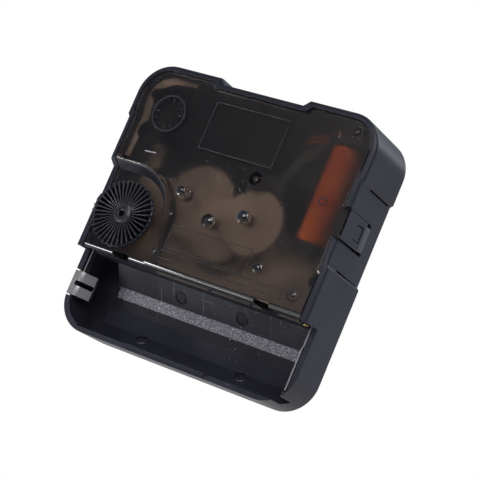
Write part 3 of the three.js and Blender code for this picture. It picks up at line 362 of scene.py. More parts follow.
nickel = metal("nickel_plate", (0.34, 0.335, 0.33), (0.2, 0.19, 0.18), 0.4, (9000, 300, 300))
steel = metal("steel_pin", (0.62, 0.62, 0.64), (0.35, 0.34, 0.33), 0.24, (6000, 300, 6000))
brass = metal("turned_brass", (0.72, 0.5, 0.2), (0.36, 0.25, 0.12), 0.27, (500, 9000, 500))
soft_iron = metal("soft_iron", (0.15, 0.17, 0.15), (0.1, 0.11, 0.1), 0.45, (400, 400, 7000))
tinned = metal("tinned", (0.7, 0.7, 0.7), (0.45, 0.44, 0.42), 0.35, (3000, 3000, 3000))
print("metals:", nickel.name, steel.name, brass.name, soft_iron.name, tinned.name)

# %% [markdown]
# The coil is wound from enamelled copper wire, several thousand turns of about a twentieth of a millimetre.
# The turns are too fine to model, so a wave along the coil's length gives their ridges. Enamel hides most of
# the metal's shine, which a low Metallic gives, and its orange drifts a little from layer to layer.

# %% Enamelled copper
DEEP_ORANGE, BRIGHT_ORANGE = (0.9, 0.13, 0.008, 1), (1.0, 0.22, 0.015, 1)
copper_wire, tree, shader = new_material("copper_wire")
place = add(tree, "TexCoord").outputs["Object"]
wave = {"Vector": place, "Scale": 2600.0, "Distortion": 1.2}
turns = add(tree, "TexWave", wave, bands_direction="Z").outputs[1]
layers = ramp(tree, noise(tree, place, 260.0, 3.0), 0.35, 0.65)
feed(tree, shader, {
    "Base Color": blend(tree, layers, DEEP_ORANGE, BRIGHT_ORANGE),
    "Roughness": ramp(tree, turns, 0.0, 1.0, 0.3, 0.44),
    "Normal": relief(tree, turns, 0.00003, 0.6),
    "Metallic": 0.4,
})
print("copper_wire is wired from", len(copper_wire.node_tree.nodes), "nodes")


# %% [markdown]
# The cover is smoked polystyrene: dark, glossy outside, and slightly frosted inside, so the wheels under it
# look soft. Glass-like shading bends and dims what is behind it. A lamp's shadow ray would be stopped by it,
# so for shadow rays alone it is a tinted window, which lets the lamps light the wheels.

# %% Smoked plastic
SMOKE, WINDOW = (0.34, 0.3, 0.28), (0.76, 0.72, 0.69)


def smoked(name, rough):
    """See-through dark plastic of a given roughness."""
    made, tree, shader = new_material(name)
    use = place_group(tree, "handling_wear", {"Scratches": 0.15, "Dust": 0.7, "Edges": 0.0}).outputs
    skin = place_group(tree, "moulded_grain", {"Grains per metre": 1200.0}).outputs
    darker = tuple(x * 0.9 for x in SMOKE)
    feed(tree, shader, {
        "Transmission Weight": 1.0,
        "IOR": 1.4,
        "Base Color": blend(tree, skin["Drift"], (*darker, 1), (*SMOKE, 1)),
        "Roughness": raised(tree, rough, use["Scratch"], 0.3),
        "Normal": relief(tree, skin["Height"], 0.000004),
    })
    dust = add(tree, "BsdfDiffuse", {"Color": (0.3, 0.3, 0.3, 1)})
    dusty = add(tree, "MixShader", {0: use["Dust"], 1: shader.outputs[0], 2: dust.outputs[0]})
    clear = add(tree, "BsdfTransparent", {"Color": (*WINDOW, 1)})
    shadow = add(tree, "LightPath").outputs["Is Shadow Ray"]
    mix = add(tree, "MixShader", {0: shadow, 1: dusty.outputs[0], 2: clear.outputs[0]})
    feed(tree, tree.nodes["Material Output"], {0: mix.outputs[0]})
    return made


smoked_outside = smoked("smoked_outside", 0.06)
smoked_inside = smoked("smoked_inside", 0.29)
print("smoked plastic passes about", round(WINDOW[0]**2, 2), "of a lamp's light")

# %% [markdown]
# The trough for the cell has one band that the mould maker left coarsely spark-eroded, so it scatters light
# and looks grey and speckled. Its finish has pits in relief, and a pale tone on its grains that is painted
# glint and gives the band most of its grey.

# %% Spark-eroded finish
PIT, PAINTED_GLINT, GRIME = (0.085, 0.085, 0.1, 1), (0.44, 0.44, 0.48, 1), (0.5, 0.5, 0.5, 1)
eroded_and_glint, tree, shader = new_material("eroded_band_with_glint")
skin = place_group(tree, "moulded_grain", {"Grains per metre": 5200.0, "Sink": 0.1}).outputs
use = place_group(tree, "handling_wear", {"Scratches": 0.2, "Dust": 0.5, "Edges": 0.5}).outputs
# The pale tone of the grains is painted glint.
tone = blend(tree, ramp(tree, skin["Grain"], 0.55, 0.85), PIT, PAINTED_GLINT)
feed(tree, shader, {
    "Base Color": blend(tree, use["Dust"], tone, GRIME),
    "Roughness": ramp(tree, skin["Grain"], 0.0, 1.0, 0.55, 0.35),
    "Normal": relief(tree, skin["Height"], 0.0001),
})
print("eroded_band_with_glint is wired from", len(eroded_and_glint.node_tree.nodes), "nodes")

# %% [markdown]
# Pieces are shaped in a bmesh on the bench and then handed to the scene. A copy of a solid comes as loose
# triangles, so its doubles are merged and its flats are joined before an edge is softened. The helpers below
# are the few moves that most pieces need.


# %% Helpers for pieces
def copy_of(node):
    """A solid's mesh on the bench, merged and with its flat triangles joined."""
    mesh = bmesh.new()
    mesh.from_mesh(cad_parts[node].data)
    mesh.transform(UNBENCH)
    bmesh.ops.remove_doubles(mesh, verts=mesh.verts, dist=0.003)
    bmesh.ops.dissolve_limit(mesh, angle_limit=math.radians(1.0), verts=mesh.verts, edges=mesh.edges)
    return mesh


def middle_of(edge):
    """The middle of an edge."""
    return (edge.verts[0].co + edge.verts[1].co) / 2


def soften(mesh, width, angle=35, steps=2, where=None, clamp=True):
    """Bevels the edges that bend by more than the angle, all of them or those that where() picks."""
    bent = [
        edge for edge in mesh.edges
        if len(edge.link_faces) == 2 and edge.calc_face_angle() > math.radians(angle)
    ]
    picked = [edge for edge in bent if where is None or where(edge)]
    bmesh.ops.bevel(
        mesh, geom=picked, offset=width, offset_type="OFFSET", segments=steps, profile=0.5,
        affect="EDGES", material=-1, clamp_overlap=clamp, loop_slide=True,
    )
    return len(picked)


def piece(mesh, name, body, materials, nodes=(), sharp=40):
    """Hands a bench mesh to the scene as a named piece that rides on a body."""
    mesh.transform(BENCH)
    data = bpy.data.meshes.new(name)
    mesh.to_mesh(data)
    mesh.free()
    for material in materials:
        data.materials.append(material)
    data.shade_smooth()
    data.set_sharp_from_angle(angle=math.radians(sharp))
    made = bpy.data.objects.new(name, data)
    SCENE.collection.objects.link(made)
    even = made.modifiers.new("even_flats", "WEIGHTED_NORMAL")
    even.keep_sharp = True
    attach(made, body)
    if nodes:
        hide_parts(*nodes)
    print(name, "has", len(data.polygons), "faces")


def block(mesh, low, high):
    """A box between two corners on the bench; returns its vertices."""
    middle = Matrix.Translation([(start + end) / 2 for start, end in zip(low, high)])
    size = Matrix.Diagonal([end - start for start, end in zip(low, high)] + [1])
    return bmesh.ops.create_cube(mesh, size=1, matrix=middle @ size)["verts"]


def spun(mesh, profile, middle=(0, 0), sides=48, closed=False):
    """Spins a profile of (radius, height) points full circle about an upright axis."""
    points = [mesh.verts.new((middle[0] + radius, middle[1], z)) for radius, z in profile]
    pairs = list(zip(points, points[1:])) + ([(points[-1], points[0])] if closed else [])
    edges = [mesh.edges.new(pair) for pair in pairs]
    bmesh.ops.spin(
        mesh, geom=points + edges, cent=(*middle, 0), axis=(0, 0, 1), angle=2 * math.pi, steps=sides,
        use_merge=True, use_duplicate=False,
    )
    bmesh.ops.remove_doubles(mesh, verts=mesh.verts, dist=0.0005)


def shift(mesh, geometry, offset):
    """Moves the vertices among some geometry."""
    verts = [item for item in geometry if isinstance(item, bmesh.types.BMVert)]
    bmesh.ops.translate(mesh, vec=offset, verts=verts)


def tidy_normals(mesh):
    """Merges what touches and turns every face outward."""
    bmesh.ops.remove_doubles(mesh, verts=mesh.verts, dist=0.0005)
    bmesh.ops.recalc_face_normals(mesh, faces=mesh.faces)


def thicken(mesh, offset):
    """Makes a thin solid of a sheet, whose copy is moved by the offset and joined to it all round."""
    shift(mesh, bmesh.ops.extrude_face_region(mesh, geom=mesh.faces[:])["geom"], offset)
    tidy_normals(mesh)


print("piece helpers ready")

# %% [markdown]
# The case is one black moulding: a square tray with a deep trough for the cell. Its shape is already whole in
# the solid. A mould can't make a perfectly sharp edge, so a copy with softened edges stands for it, and those
# edges catch the light as on the real one. Two of the trough's facets were polished less: the one at 40
# degrees from straight down is satin, with a lighter tone painted on as the light falling on it, and the one
# at 10 is dull.

# %% The case
RIM_Z, TROUGH_Y = 14, -12.2
FACET_FINISHES = {40: 1, 10: 2}
case = copy_of("front_case")


def on_rim_slope(edge):
    """Whether an edge borders the slope round the outside of the case's rim."""
    slopes = [
        face for face in edge.link_faces
        if 0.6 < face.normal.z < 0.8 and face.calc_center_median().z > RIM_Z
    ]
    return len(slopes) == 1 and all(vert.co.z > RIM_Z for vert in edge.verts)


rounded_lengths = soften(case, 0.3, 30, 4, on_rim_slope)
print("rounded", rounded_lengths, "lengths of rim and softened", soften(case, 0.1), "edges")
case.normal_update()
for face in case.faces:
    lean = math.degrees(math.atan2(-face.normal.y, face.normal.z))
    in_trough = face.calc_center_median().y < TROUGH_Y and abs(face.normal.x) < 0.1
    for facet, finish in FACET_FINISHES.items():
        if in_trough and abs(lean - facet) < 4:
            face.material_index = finish
finishes = [case_black, satin_painted_light, dull_black]
piece(case, "case", "movement", finishes, ["front_case"], sharp=20)

# %% [markdown]
# The trough's facets each touch the cell's clearance circle, at 90, 40, 10, -20 and -50 degrees from straight
# down. The rough band is a thin skin over the upper half of the facet at 10 and the foot of the one at 40. It
# could be a finish on the case's own faces, but its edges don't follow them.

# %% The rough band in the trough
CELL_Y, CELL_Z, CELL_R = -19.55, 8.6, 7.45
BAND_START, BAND_LENGTH, BAND_LIFT, BAND_DEPTH = -21.8, 47.9, 0.03, (0, 0.03, -0.06)
BAND_CORNER, BAND_TOP = CELL_R * math.tan(math.radians(15)), -1.645


def on_facet(angle, along, lift):
    """The (y, z) of a place on the facet that touches at an angle, so far along from where it touches."""
    lean = math.radians(angle)
    reach = CELL_R - lift
    y = CELL_Y + along * math.cos(lean) + reach * math.sin(lean)
    z = CELL_Z + along * math.sin(lean) - reach * math.cos(lean)
    return y, z


band = bmesh.new()
line = [on_facet(10, 0.0, BAND_LIFT), on_facet(10, BAND_CORNER, BAND_LIFT), on_facet(40, BAND_TOP, BAND_LIFT)]
ends = [band.verts.new((BAND_START, y, z)) for y, z in line]
profile = [band.edges.new(pair) for pair in zip(ends, ends[1:])]
shift(band, bmesh.ops.extrude_edge_only(band, edges=profile)["geom"], (BAND_LENGTH, 0, 0))
thicken(band, BAND_DEPTH)
piece(band, "trough_band", "movement", [eroded_and_glint])

# %% [markdown]
# Ejector pins pushed the case out of its mould and left round marks in the trough, each a disc with a low rim
# whose inner wall is painted near black as shade. Each mark is spun upright and then laid against its facet.

# %% Ejector marks in the trough
# Each mark's x, the angle of its facet, and how far it lies from where the facet touches.
EJECTORS = ((-6.3, 40, 0.65), (8.5, 40, 0.65), (-10.9, -50, 0.7), (13.1, -50, 0.7))
MARK_R, RIM_HIGH, DISC_HIGH, FOOT = 1.15, 0.19, 0.012, -0.1
RIM = [(MARK_R - 0.04, FOOT), (MARK_R, RIM_HIGH), (MARK_R + 0.1, RIM_HIGH), (MARK_R + 0.4, FOOT)]
DISC = [(0.001, DISC_HIGH), (MARK_R - 0.05, DISC_HIGH), (MARK_R - 0.05, FOOT), (0.001, FOOT)]
pins = bmesh.new()
# Each rim's inner wall gets near black as painted shade.
for x, facet, along in EJECTORS:
    mark = bmesh.new()
    spun(mark, RIM, closed=True)
    for face in mark.faces:
        if face.calc_center_median().xy.length < MARK_R:
            face.material_index = 1
    spun(mark, DISC, closed=True)
    lean = Matrix.Translation((x, CELL_Y, CELL_Z)) @ Matrix.Rotation(math.radians(facet), 4, "X")
    mark.transform(lean @ Matrix.Translation((0, along, -CELL_R)))
    part = bpy.data.meshes.new("mark")
    mark.to_mesh(part)
    mark.free()
    pins.from_mesh(part)
    bpy.data.meshes.remove(part)
tidy_normals(pins)
piece(pins, "trough_marks", "movement", [case_black, painted_shade_black])

# %% [markdown]
# The cover closes the case over the wheels. Along the cell it ends in a rolled lip, which is the brightest
# line on the part, because a roll mirrors a lamp from somewhere along its curve. The copy of the solid gets
# that roll by a wide bevel along the lip and a narrow one elsewhere. Its outer faces are polished, its inner
# faces frosted, and the lip and the strap at the right are so thick that they look black.

# %% The cover
SHELF_TOP, COVER_TOP, LIP_Y, LIP_BACK_Y, STRAP_X = 12.5, 15.0, -11.9, -11.05, 26.4
WELL_LEFT, WELL_RIGHT, WELL_LOW, WELL_HIGH, SLOPE_HIGH = -26.8, -10, -11.6, 7.5, 6.8
NEAR = 0.05
cover = copy_of("rear_cover")


def on_lip(edge):
    """Whether an edge is the upper corner of the cover's lip."""
    tops = [min(abs(vert.co.z - top) for top in (SHELF_TOP, COVER_TOP)) for vert in edge.verts]
    return all(vert.co.y < LIP_Y + NEAR for vert in edge.verts) and max(tops) < NEAR


def on_shoulder(edge):
    """Whether an edge is the upper corner of the well round the knob."""
    middle = middle_of(edge)
    level = all(abs(vert.co.z - COVER_TOP) < NEAR for vert in edge.verts)
    return level and WELL_LEFT < middle.x < WELL_RIGHT and WELL_LOW < middle.y < WELL_HIGH


rolled = soften(cover, 0.8, 35, 8, on_lip, clamp=False)
shoulder = soften(cover, 0.7, 35, 6, on_shoulder, clamp=False)
print("rolled", rolled, "lengths of lip and rounded", shoulder, "lengths of the shoulder round the knob")
print("softened", soften(cover, 0.2, 35, 3), "edges of the cover")
for face in cover.faces:
    middle = face.calc_center_median()
    round_knob = middle.x < WELL_RIGHT and middle.y < SLOPE_HIGH and 0.2 < face.normal.z < 0.95
    if middle.x > STRAP_X or round_knob:
        face.material_index = 3
    elif middle.y < LIP_BACK_Y:
        face.material_index = 2
    elif face.normal.z < -0.3:
        face.material_index = 1
finishes = [smoked_outside, smoked_inside, dark_edge, case_black]
piece(cover, "cover", "movement", finishes, ["rear_cover"])

# %% [markdown]
# At the right the strap of the cover snaps over a catch on the case. The catch's face is nearly as rough as
# the band in the trough, and the nub on it fills the strap's window. A dark gap runs round them, and two more
# where the side's recess ends. Gaps that narrow could be cut, but black strips of painted shade set just over
# the recess stand for the shade in them and leave the case's mesh whole.

# %% Catch and gaps at the side
RECESS_X, SUNK, GAP_PROUD = 27.5, 0.2, 0.12


def at_side(mesh, proud, low, high):
    """A block in the side's recess between two (y, z) corners, which stands so far proud."""
    return block(mesh, (RECESS_X - SUNK, *low), (RECESS_X + proud, *high))


# Black strips painted as the shade in the narrow gaps.
gap_shade = bmesh.new()
at_side(gap_shade, GAP_PROUD, (4.0, 4.5), (9.8, 8.0))
at_side(gap_shade, GAP_PROUD, (9.7, 5.0), (10.25, 13.8))
for y in (15.62, -1.22):
    for corner in at_side(gap_shade, GAP_PROUD, (y - 0.25, 1.7), (y + 0.2, 10.3)):
        if corner.co.z > 6 and corner.co.y > y:
            corner.co.y += 0.3
piece(gap_shade, "side_gap_shade", "movement", [painted_shade_black])
catch = bmesh.new()
at_side(catch, 0.42, (4.5, 5.0), (9.45, 7.0))
soften(catch, 0.12)
piece(catch, "latch_catch", "movement", [rough_grey])
nub = bmesh.new()
at_side(nub, 0.38, (5.75, 7.9), (8.55, 10.3))
soften(nub, 0.15)
piece(nub, "latch_nub", "movement", [case_black])

# %% [markdown]
# The lip has two notches, and their dark insides are painted shade: a nearly black block with soft edges
# fills each.

# %% Painted shade in the lip's notches
NOTCH_SHADE_X, NOTCH_SHADE_HALF = (-17.11, 17.81), 1.55
# Nearly black blocks painted as the shade inside the notches.
notch_shade = bmesh.new()
for middle in NOTCH_SHADE_X:
    block(notch_shade, (middle - NOTCH_SHADE_HALF, -11.75, 10.2), (middle + NOTCH_SHADE_HALF, -11.05, 13.5))
soften(notch_shade, 0.15)
piece(notch_shade, "notch_shade_blocks", "movement", [painted_shade_black])

# %% [markdown]
# Along the foot of the lip runs a thin brown line, and at its right end a scrap of brass swarf is stuck in
# the corner. The line is thin and uneven, so it is made of a few flat lengths with gaps.

# %% A brown line and a scrap of brass
BROWN_LINE_RUNS = ((-9.0, 3.5), (4.2, 13.0), (13.8, 15.9), (19.7, 24.7))
LINE_FRONT, LINE_BACK = (-12.06, 10.25), (-11.93, 10.5)
brown_line = bmesh.new()
for start, end in BROWN_LINE_RUNS:
    block(brown_line, (start, *LINE_FRONT), (end, *LINE_BACK))
soften(brown_line, 0.03)
piece(brown_line, "lip_brown_line", "movement", [line_brown])
scrap = bmesh.new()
squashed = Matrix.Translation((25.6, -12.1, 10.0)) @ Matrix.Diagonal((1.5, 0.35, 0.5, 1.0))
bmesh.ops.create_icosphere(scrap, subdivisions=2, radius=0.45, matrix=squashed)
piece(scrap, "brass_scrap", "movement", [brass])

# %% [markdown]
# The cell's negative end presses on a strip with two fingers. The strip is stamped with a slot that ends
# round, and bent over the end of the bay. A copy of the solid gets the round slot end and a rounder bend.

# %% The negative contact
FINGER_Y, SLOT_END, STRIP_TOP, BEND_LEFT, BEND_RIGHT = -19.1, -27.1, 9.2, -26.5, -22
clip = copy_of("negative_contact")


def at_slot_end(edge):
    """Whether an edge is an upright corner of the slot's closed end."""
    run = edge.verts[0].co - edge.verts[1].co
    middle = middle_of(edge)
    near_end = abs(middle.x - SLOT_END) < 0.1 and abs(middle.y - FINGER_Y) < 0.7
    return near_end and abs(run.z) > 0.9 * run.length


def at_bend(edge):
    """Whether an edge is the upper side of the bend into the bay."""
    run = edge.verts[0].co - edge.verts[1].co
    middle = middle_of(edge)
    return abs(run.y) > 0.9 * run.length and BEND_LEFT < middle.x < BEND_RIGHT and middle.z > STRIP_TOP


print("slot end:", soften(clip, 0.42, 35, 6, at_slot_end, clamp=False), "corners")
print("bend:", soften(clip, 0.5, 15, 6, at_bend, clamp=False), "edges")
print("softened", soften(clip, 0.05), "other edges of the clip")
piece(clip, "cell_clip", "movement", [nickel], ["negative_contact"])

# %% [markdown]
# The cover's face carries low ridges from the mould: three frames, a ring with twelve strokes as on a dial,
# and rings round the pin marks. Inside the frames the face is left bare. A ridge is a box with a narrowed
# top, laid from one point to the other. A bump in the finish would be quicker, but it has no edge to shine.

# %% Ridges on the cover
DIAL_X, DIAL_Y, SUNKEN = -18.4, 18.2, -0.05
PALE_MARK_X, PALE_MARK_LOW, PALE_MARK_HIGH = -18.6, 9, 10.5
PIN_RINGS = (
    (23.5, -8.2, 1.25), (22.9, 24.3, 1.1), (-23.9, 24.2, 0.6), (-8.4, -8.7, 0.6), (21.76, 9.94, 0.75),
)
marks = bmesh.new()


def ridge(start, end, width=0.16, height=0.09):
    """A low ridge between two points of the cover's face."""
    run = Vector(end) - Vector(start)
    half = width / 2
    corners = block(marks, (-half, -half, SUNKEN), (run.length + half, half, height))
    for corner in corners:
        if corner.co.z > 0:
            corner.co.y *= 0.4
    turn = Matrix.Rotation(math.atan2(run.y, run.x), 4, "Z")
    bmesh.ops.transform(marks, matrix=Matrix.Translation((*start, COVER_TOP)) @ turn, verts=corners)


def ridge_box(left, low, right, high, **how):
    """Four ridges around an upright rectangle."""
    corners = ((left, low), (right, low), (right, high), (left, high))
    for start, end in zip(corners, corners[1:] + corners[:1]):
        ridge(start, end, **how)


def ring(x, y, radius, width, height=0.1, sides=48):
    """A low ring on the cover's face."""
    half = width / 2
    section = [
        (radius - half, SUNKEN), (radius - half * 0.5, height),
        (radius + half * 0.5, height), (radius + half, SUNKEN),
    ]
    spun(marks, [(reach, COVER_TOP + z) for reach, z in section], (x, y), sides, closed=True)


ridge_box(-8.6, 13.2, 8.5, 23.0)
ridge_box(-6.8, -7.5, 12.0, -2.7, height=0.07)
ridge_box(-7.2, -9.5, 22.6, -8.0, height=0.12)
ridge((-19.8, 9.6), (-17.5, 9.75), width=0.32, height=0.14)
ring(DIAL_X, DIAL_Y, 3.7, width=0.4, height=0.12)
for hour in range(12):
    turn = math.radians(30 * hour)
    inner, outer = (2.3 if hour % 3 == 0 else 2.7), 3.1
    stroke = [(DIAL_X + reach * math.sin(turn), DIAL_Y + reach * math.cos(turn)) for reach in (inner, outer)]
    ridge(*stroke, width=0.18, height=0.08)
for x, y, radius in PIN_RINGS:
    ring(x, y, radius, width=0.24, sides=32)
tidy_normals(marks)
# The short ridge at the left gets a pale grey.
for face in marks.faces:
    middle = face.calc_center_median()
    if abs(middle.x - PALE_MARK_X) < 1.6 and PALE_MARK_LOW < middle.y < PALE_MARK_HIGH:
        face.material_index = 1
piece(marks, "cover_ridges", "movement", [ridge_wear_and_sheen, pale_mark_grey])

# %% [markdown]
# Over each arbor the cover swells into a small dome, and the mould's pins left beads. A dome is a piece of a
# sphere, which comes from spinning an arc. They glint because they mirror a lamp somewhere on their slope.

# %% Domes and beads
# Each dome's x and y, its radius and how high it stands.
DOMES = (
    (0.0, 0.0, 1.35, 0.3), (6.9, 2.8, 1.2, 0.3), (-8.5, 4.05, 1.0, 0.28), (14.25, -5.6, 1.05, 0.28),
    (23.5, -8.2, 0.55, 0.2), (22.9, 24.3, 0.45, 0.18), (-23.9, 24.2, 0.3, 0.15), (-8.4, -8.7, 0.32, 0.18),
    (-8.3, -0.8, 0.3, 0.16),
)
FOOT_Z, ARC_STEPS = COVER_TOP - 0.05, 8
domes = bmesh.new()
for x, y, radius, rise in DOMES:
    ball = (radius**2 + rise**2) / (2 * rise)
    opening = math.asin(radius / ball)
    angles = [opening * step / ARC_STEPS for step in range(ARC_STEPS + 1)]
    arc = [(ball * math.sin(turn), COVER_TOP + rise - ball + ball * math.cos(turn)) for turn in angles]
    spun(domes, [(0.0, FOOT_Z), *arc, (radius, FOOT_Z)], (x, y), 32, closed=True)
tidy_normals(domes)
piece(domes, "cover_domes", "movement", [dark_edge])

# %% [markdown]
# The knob that sets the hands has fine ribs on its face and rim for a fingertip. One rib starts as a block
# whose corners are moved, so that it narrows to its top and to the hub. It is bevelled and repeated around
# the axis by spin with duplicates. The body under the ribs is a profile spun full circle.

# %% The setting knob
KNOB_X, KNOB_Y, KNOB_LOW, KNOB_TOP = -20.0, -3.6, 12.9, 14.6
KNOB_R, HUB_R, HOLE_R, RIBS = 6.95, 1.9, 0.65, 36
HUB_TOP, DISH = 13.95, 13.45
RIB_START, BLOCK_HALF, RIM_HALF, HUB_HALF, TAPER = HUB_R - 0.2, 0.25, 0.27, 0.1, 0.6
KNOB_PROFILE = [
    (0.0, KNOB_LOW), (KNOB_R - 0.15, KNOB_LOW), (KNOB_R - 0.2, DISH + 0.1), (KNOB_R - 0.5, DISH + 0.2),
    (HUB_R + 0.1, DISH), (HUB_R, DISH + 0.1), (HUB_R - 0.1, HUB_TOP - 0.15), (HUB_R - 0.4, HUB_TOP - 0.05),
    (HOLE_R + 0.25, HUB_TOP + 0.05), (HOLE_R + 0.08, HUB_TOP + 0.04), (HOLE_R, HUB_TOP - 0.02),
    (0.0, HUB_TOP - 0.03),
]
knob = bmesh.new()
rib = block(
    knob, (KNOB_X + RIB_START, KNOB_Y - BLOCK_HALF, KNOB_LOW + 0.05),
    (KNOB_X + KNOB_R, KNOB_Y + BLOCK_HALF, KNOB_TOP),
)
for corner in rib:
    outside = corner.co.x > KNOB_X + (RIB_START + KNOB_R) / 2
    above = corner.co.z > KNOB_LOW + 1
    half = (RIM_HALF if outside else HUB_HALF) * (TAPER if above else 1.0)
    corner.co.y = KNOB_Y + math.copysign(half, corner.co.y - KNOB_Y)
    if above:
        corner.co.z = KNOB_TOP if outside else HUB_TOP - 0.12
        corner.co.x -= 0.3 if outside else 0.0
soften(knob, 0.06, 30, 2)
bmesh.ops.spin(
    knob, geom=knob.verts[:] + knob.edges[:] + knob.faces[:], cent=(KNOB_X, KNOB_Y, 0), axis=(0, 0, 1),
    angle=2 * math.pi * (RIBS - 1) / RIBS, steps=RIBS - 1, use_duplicate=True,
)
spun(knob, KNOB_PROFILE, (KNOB_X, KNOB_Y), 72)
tidy_normals(knob)
# The dish between the ribs and the hub's hole are painted near black as shade.
for face in knob.faces:
    middle = face.calc_center_median() - Vector((KNOB_X, KNOB_Y, 0))
    in_shaded_dish = face.normal.z > 0.5 and HUB_R < middle.xy.length < KNOB_R - 0.5 and middle.z < DISH + 0.25
    if in_shaded_dish or (middle.xy.length < HOLE_R and middle.z > DISH):
        face.material_index = 1
piece(knob, "knob", "knob", [knob_black, painted_shade_black], ["setting_knob"])

# %% [markdown]
# The coil drives the rotor. The wire fills the spool in even layers and sags a little at the ends, which a
# profile spun about the coil's own axis gives. It is spun upright and then laid along the movement.

# %% The coil
COIL_X, COIL_Z, COIL_R = 20.0, 9.75, 3.0
COIL_PROFILE = [
    (2.1, 2.3), (2.75, 2.32), (2.92, 2.5), (COIL_R, 3.2),
    (COIL_R, 20.8), (2.92, 21.5), (2.75, 21.68), (2.1, 21.7),
]
coil = bmesh.new()
spun(coil, COIL_PROFILE, closed=True, sides=64)
coil.transform(Matrix.Translation((COIL_X, 0, COIL_Z)) @ Matrix.Rotation(math.radians(-90), 4, "X"))
tidy_normals(coil)
piece(coil, "coil", "movement", [copper_wire], ["coil_winding"])

# %% [markdown]
# Black card lies over the electronics and on the plate beside the wheels, so that the works look dark there
# through the smoked cover. Each card is an outline, with round holes where arbors pass, that is filled and
# given a thickness. The one over the board lies on the crystal's can.

# %% Cards over the electronics
ROTOR, THIRD, ARBOR_HOLE, CARD_THICK = (5.79, 10.61), (-8.5, 4.05), 1.5, (0, 0, 0.12)
# Each card's height, its outline and its holes.
CARDS = {
    "card_over_board": (9.52, [(-21.6, 13.0), (8.6, 13.0), (8.6, 24.6), (-21.6, 24.6)], []),
    "card_on_plate": (5.62, [
        (-21.6, 7.4), (-12.0, 7.4), (-12.0, 2.0), (13.4, 2.0), (14.0, 1.0), (24.4, 1.0), (24.4, 24.9),
        (-21.6, 24.9),
    ], [ROTOR, THIRD]),
}
for name, (level, outline, holes) in CARDS.items():
    card = bmesh.new()
    corners = [card.verts.new((x, y, level)) for x, y in outline]
    for one, other in zip(corners, corners[1:] + corners[:1]):
        card.edges.new((one, other))
    for x, y in holes:
        at_arbor = Matrix.Translation((x, y, level))
        bmesh.ops.create_circle(card, radius=ARBOR_HOLE, segments=24, matrix=at_arbor)
    bmesh.ops.triangle_fill(card, edges=card.edges[:], use_beauty=True)
    thicken(card, CARD_THICK)
    piece(card, name, "movement", [black_card])

# %% [markdown]
# The pale plate's edge shows close under the cover at the left, in patches, so a strip with a ragged edge
# lies there. Two dark discs sit over the rotor's arbor and at the right.

# %% Pale edge and dark discs
STRIP_Z, STRIP_THICK, RIGHT_DISC = 12.8, (0, 0, 0.3), (25.4, -4.35)
STRIP = [
    (-26.6, 8.0), (-24.3, 8.0), (-24.0, 12.2), (-25.0, 13.2), (-24.8, 14.8), (-23.6, 16.0), (-24.0, 20.0),
    (-25.6, 21.2), (-25.2, 22.4), (-23.4, 23.2), (-20.6, 24.6), (-15.5, 25.0), (-15.5, 26.2), (-22.6, 26.2),
    (-26.6, 22.6),
]
edge_strip = bmesh.new()
edge_strip.faces.new([edge_strip.verts.new((x, y, STRIP_Z)) for x, y in STRIP])
thicken(edge_strip, STRIP_THICK)
piece(edge_strip, "pale_edge_strip", "movement", [beige_plate])
dark_discs = bmesh.new()
spun(dark_discs, [(0.8, 11.9), (1.9, 11.9), (1.9, 12.15), (0.8, 12.15)], ROTOR, 32, closed=True)
spun(dark_discs, [(0.01, 12.0), (1.4, 12.0), (1.4, 12.3), (0.01, 12.3)], RIGHT_DISC, 32, closed=True)
tidy_normals(dark_discs)
piece(dark_discs, "dark_disc_pair", "movement", [black_card])

# %% [markdown]
# The solids that are right as they are keep their shape and only get a finish. A table of names is enough for
# that, and shows at a glance what each is made of.

# %% Finishes for the other solids
FINISHES = {
    "middle_plate": beige_plate, "circuit_board": board_green, "chip_blob": potting_black,
    "crystal_can": tinned, "crystal_lead_1": tinned, "crystal_lead_2": tinned, "coil_core": soft_iron,
    "coil_bobbin": case_black, "coil_terminal_1": tinned, "coil_terminal_2": tinned,
    "coil_lead_1": copper_wire, "coil_lead_2": copper_wire, "stator_plate": soft_iron,
    "rotor_magnet": magnet_grey, "rotor_pinion": pale_wheel, "intermediate_wheel": pale_wheel,
    "second_wheel": pale_wheel, "second_arbor": steel, "third_wheel": pale_wheel, "centre_wheel": pale_wheel,
    "clutch_spring": nickel, "minute_cannon": brass, "motion_wheel": pale_wheel, "hour_wheel": pale_wheel,
    "positive_contact": nickel, "setting_arbor": pale_wheel, "threaded_bush": brass,
}
for node, material in FINISHES.items():
    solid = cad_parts[node]
    solid.data.materials.clear()
    solid.data.materials.append(material)
print("finished", len(FINISHES), "solids")

# %% [markdown]
# A movement is photographed on a white sweep: light comes up from the floor and from the backdrop behind the
# object, while the room behind the camera is dim. So the world is bright where the backdrop is and dim behind
# the camera, and the camera itself sees plain white.

# %% The world
DIM_ROOM, BRIGHT_SWEEP, PLAIN_WHITE = (0.13, 0.15, 0.21, 1), (0.62, 0.64, 0.74, 1), (1, 1, 1, 1)
bright_side = Vector((0.0, -0.4, -0.9)).normalized()
world = bpy.data.worlds.new("studio")
SCENE.world = world
world.use_nodes = True
tree = world.node_tree
tree.nodes.clear()
way = add(tree, "TexCoord").outputs["Generated"]
facing = add(tree, "VectorMath", {0: way, 1: bright_side}, operation="DOT_PRODUCT").outputs["Value"]
soft_light = blend(tree, ramp(tree, facing, -0.5, 0.6), DIM_ROOM, BRIGHT_SWEEP)
seen = add(tree, "LightPath").outputs["Is Camera Ray"]
sky = add(tree, "Background", {"Color": blend(tree, seen, soft_light, PLAIN_WHITE), "Strength": 1.0})
add(tree, "OutputWorld", {0: sky.outputs[0]})
print("the world is brightest towards", [round(x, 2) for x in bright_side])

# %% [markdown]
# The floor is white paper under the movement. It takes a soft shadow near the middle and fades to the white
# of the backdrop at its rim, so that no edge shows. Shiny faces mirror it as a plain sheet, dimmer than the
# white that the camera sees.

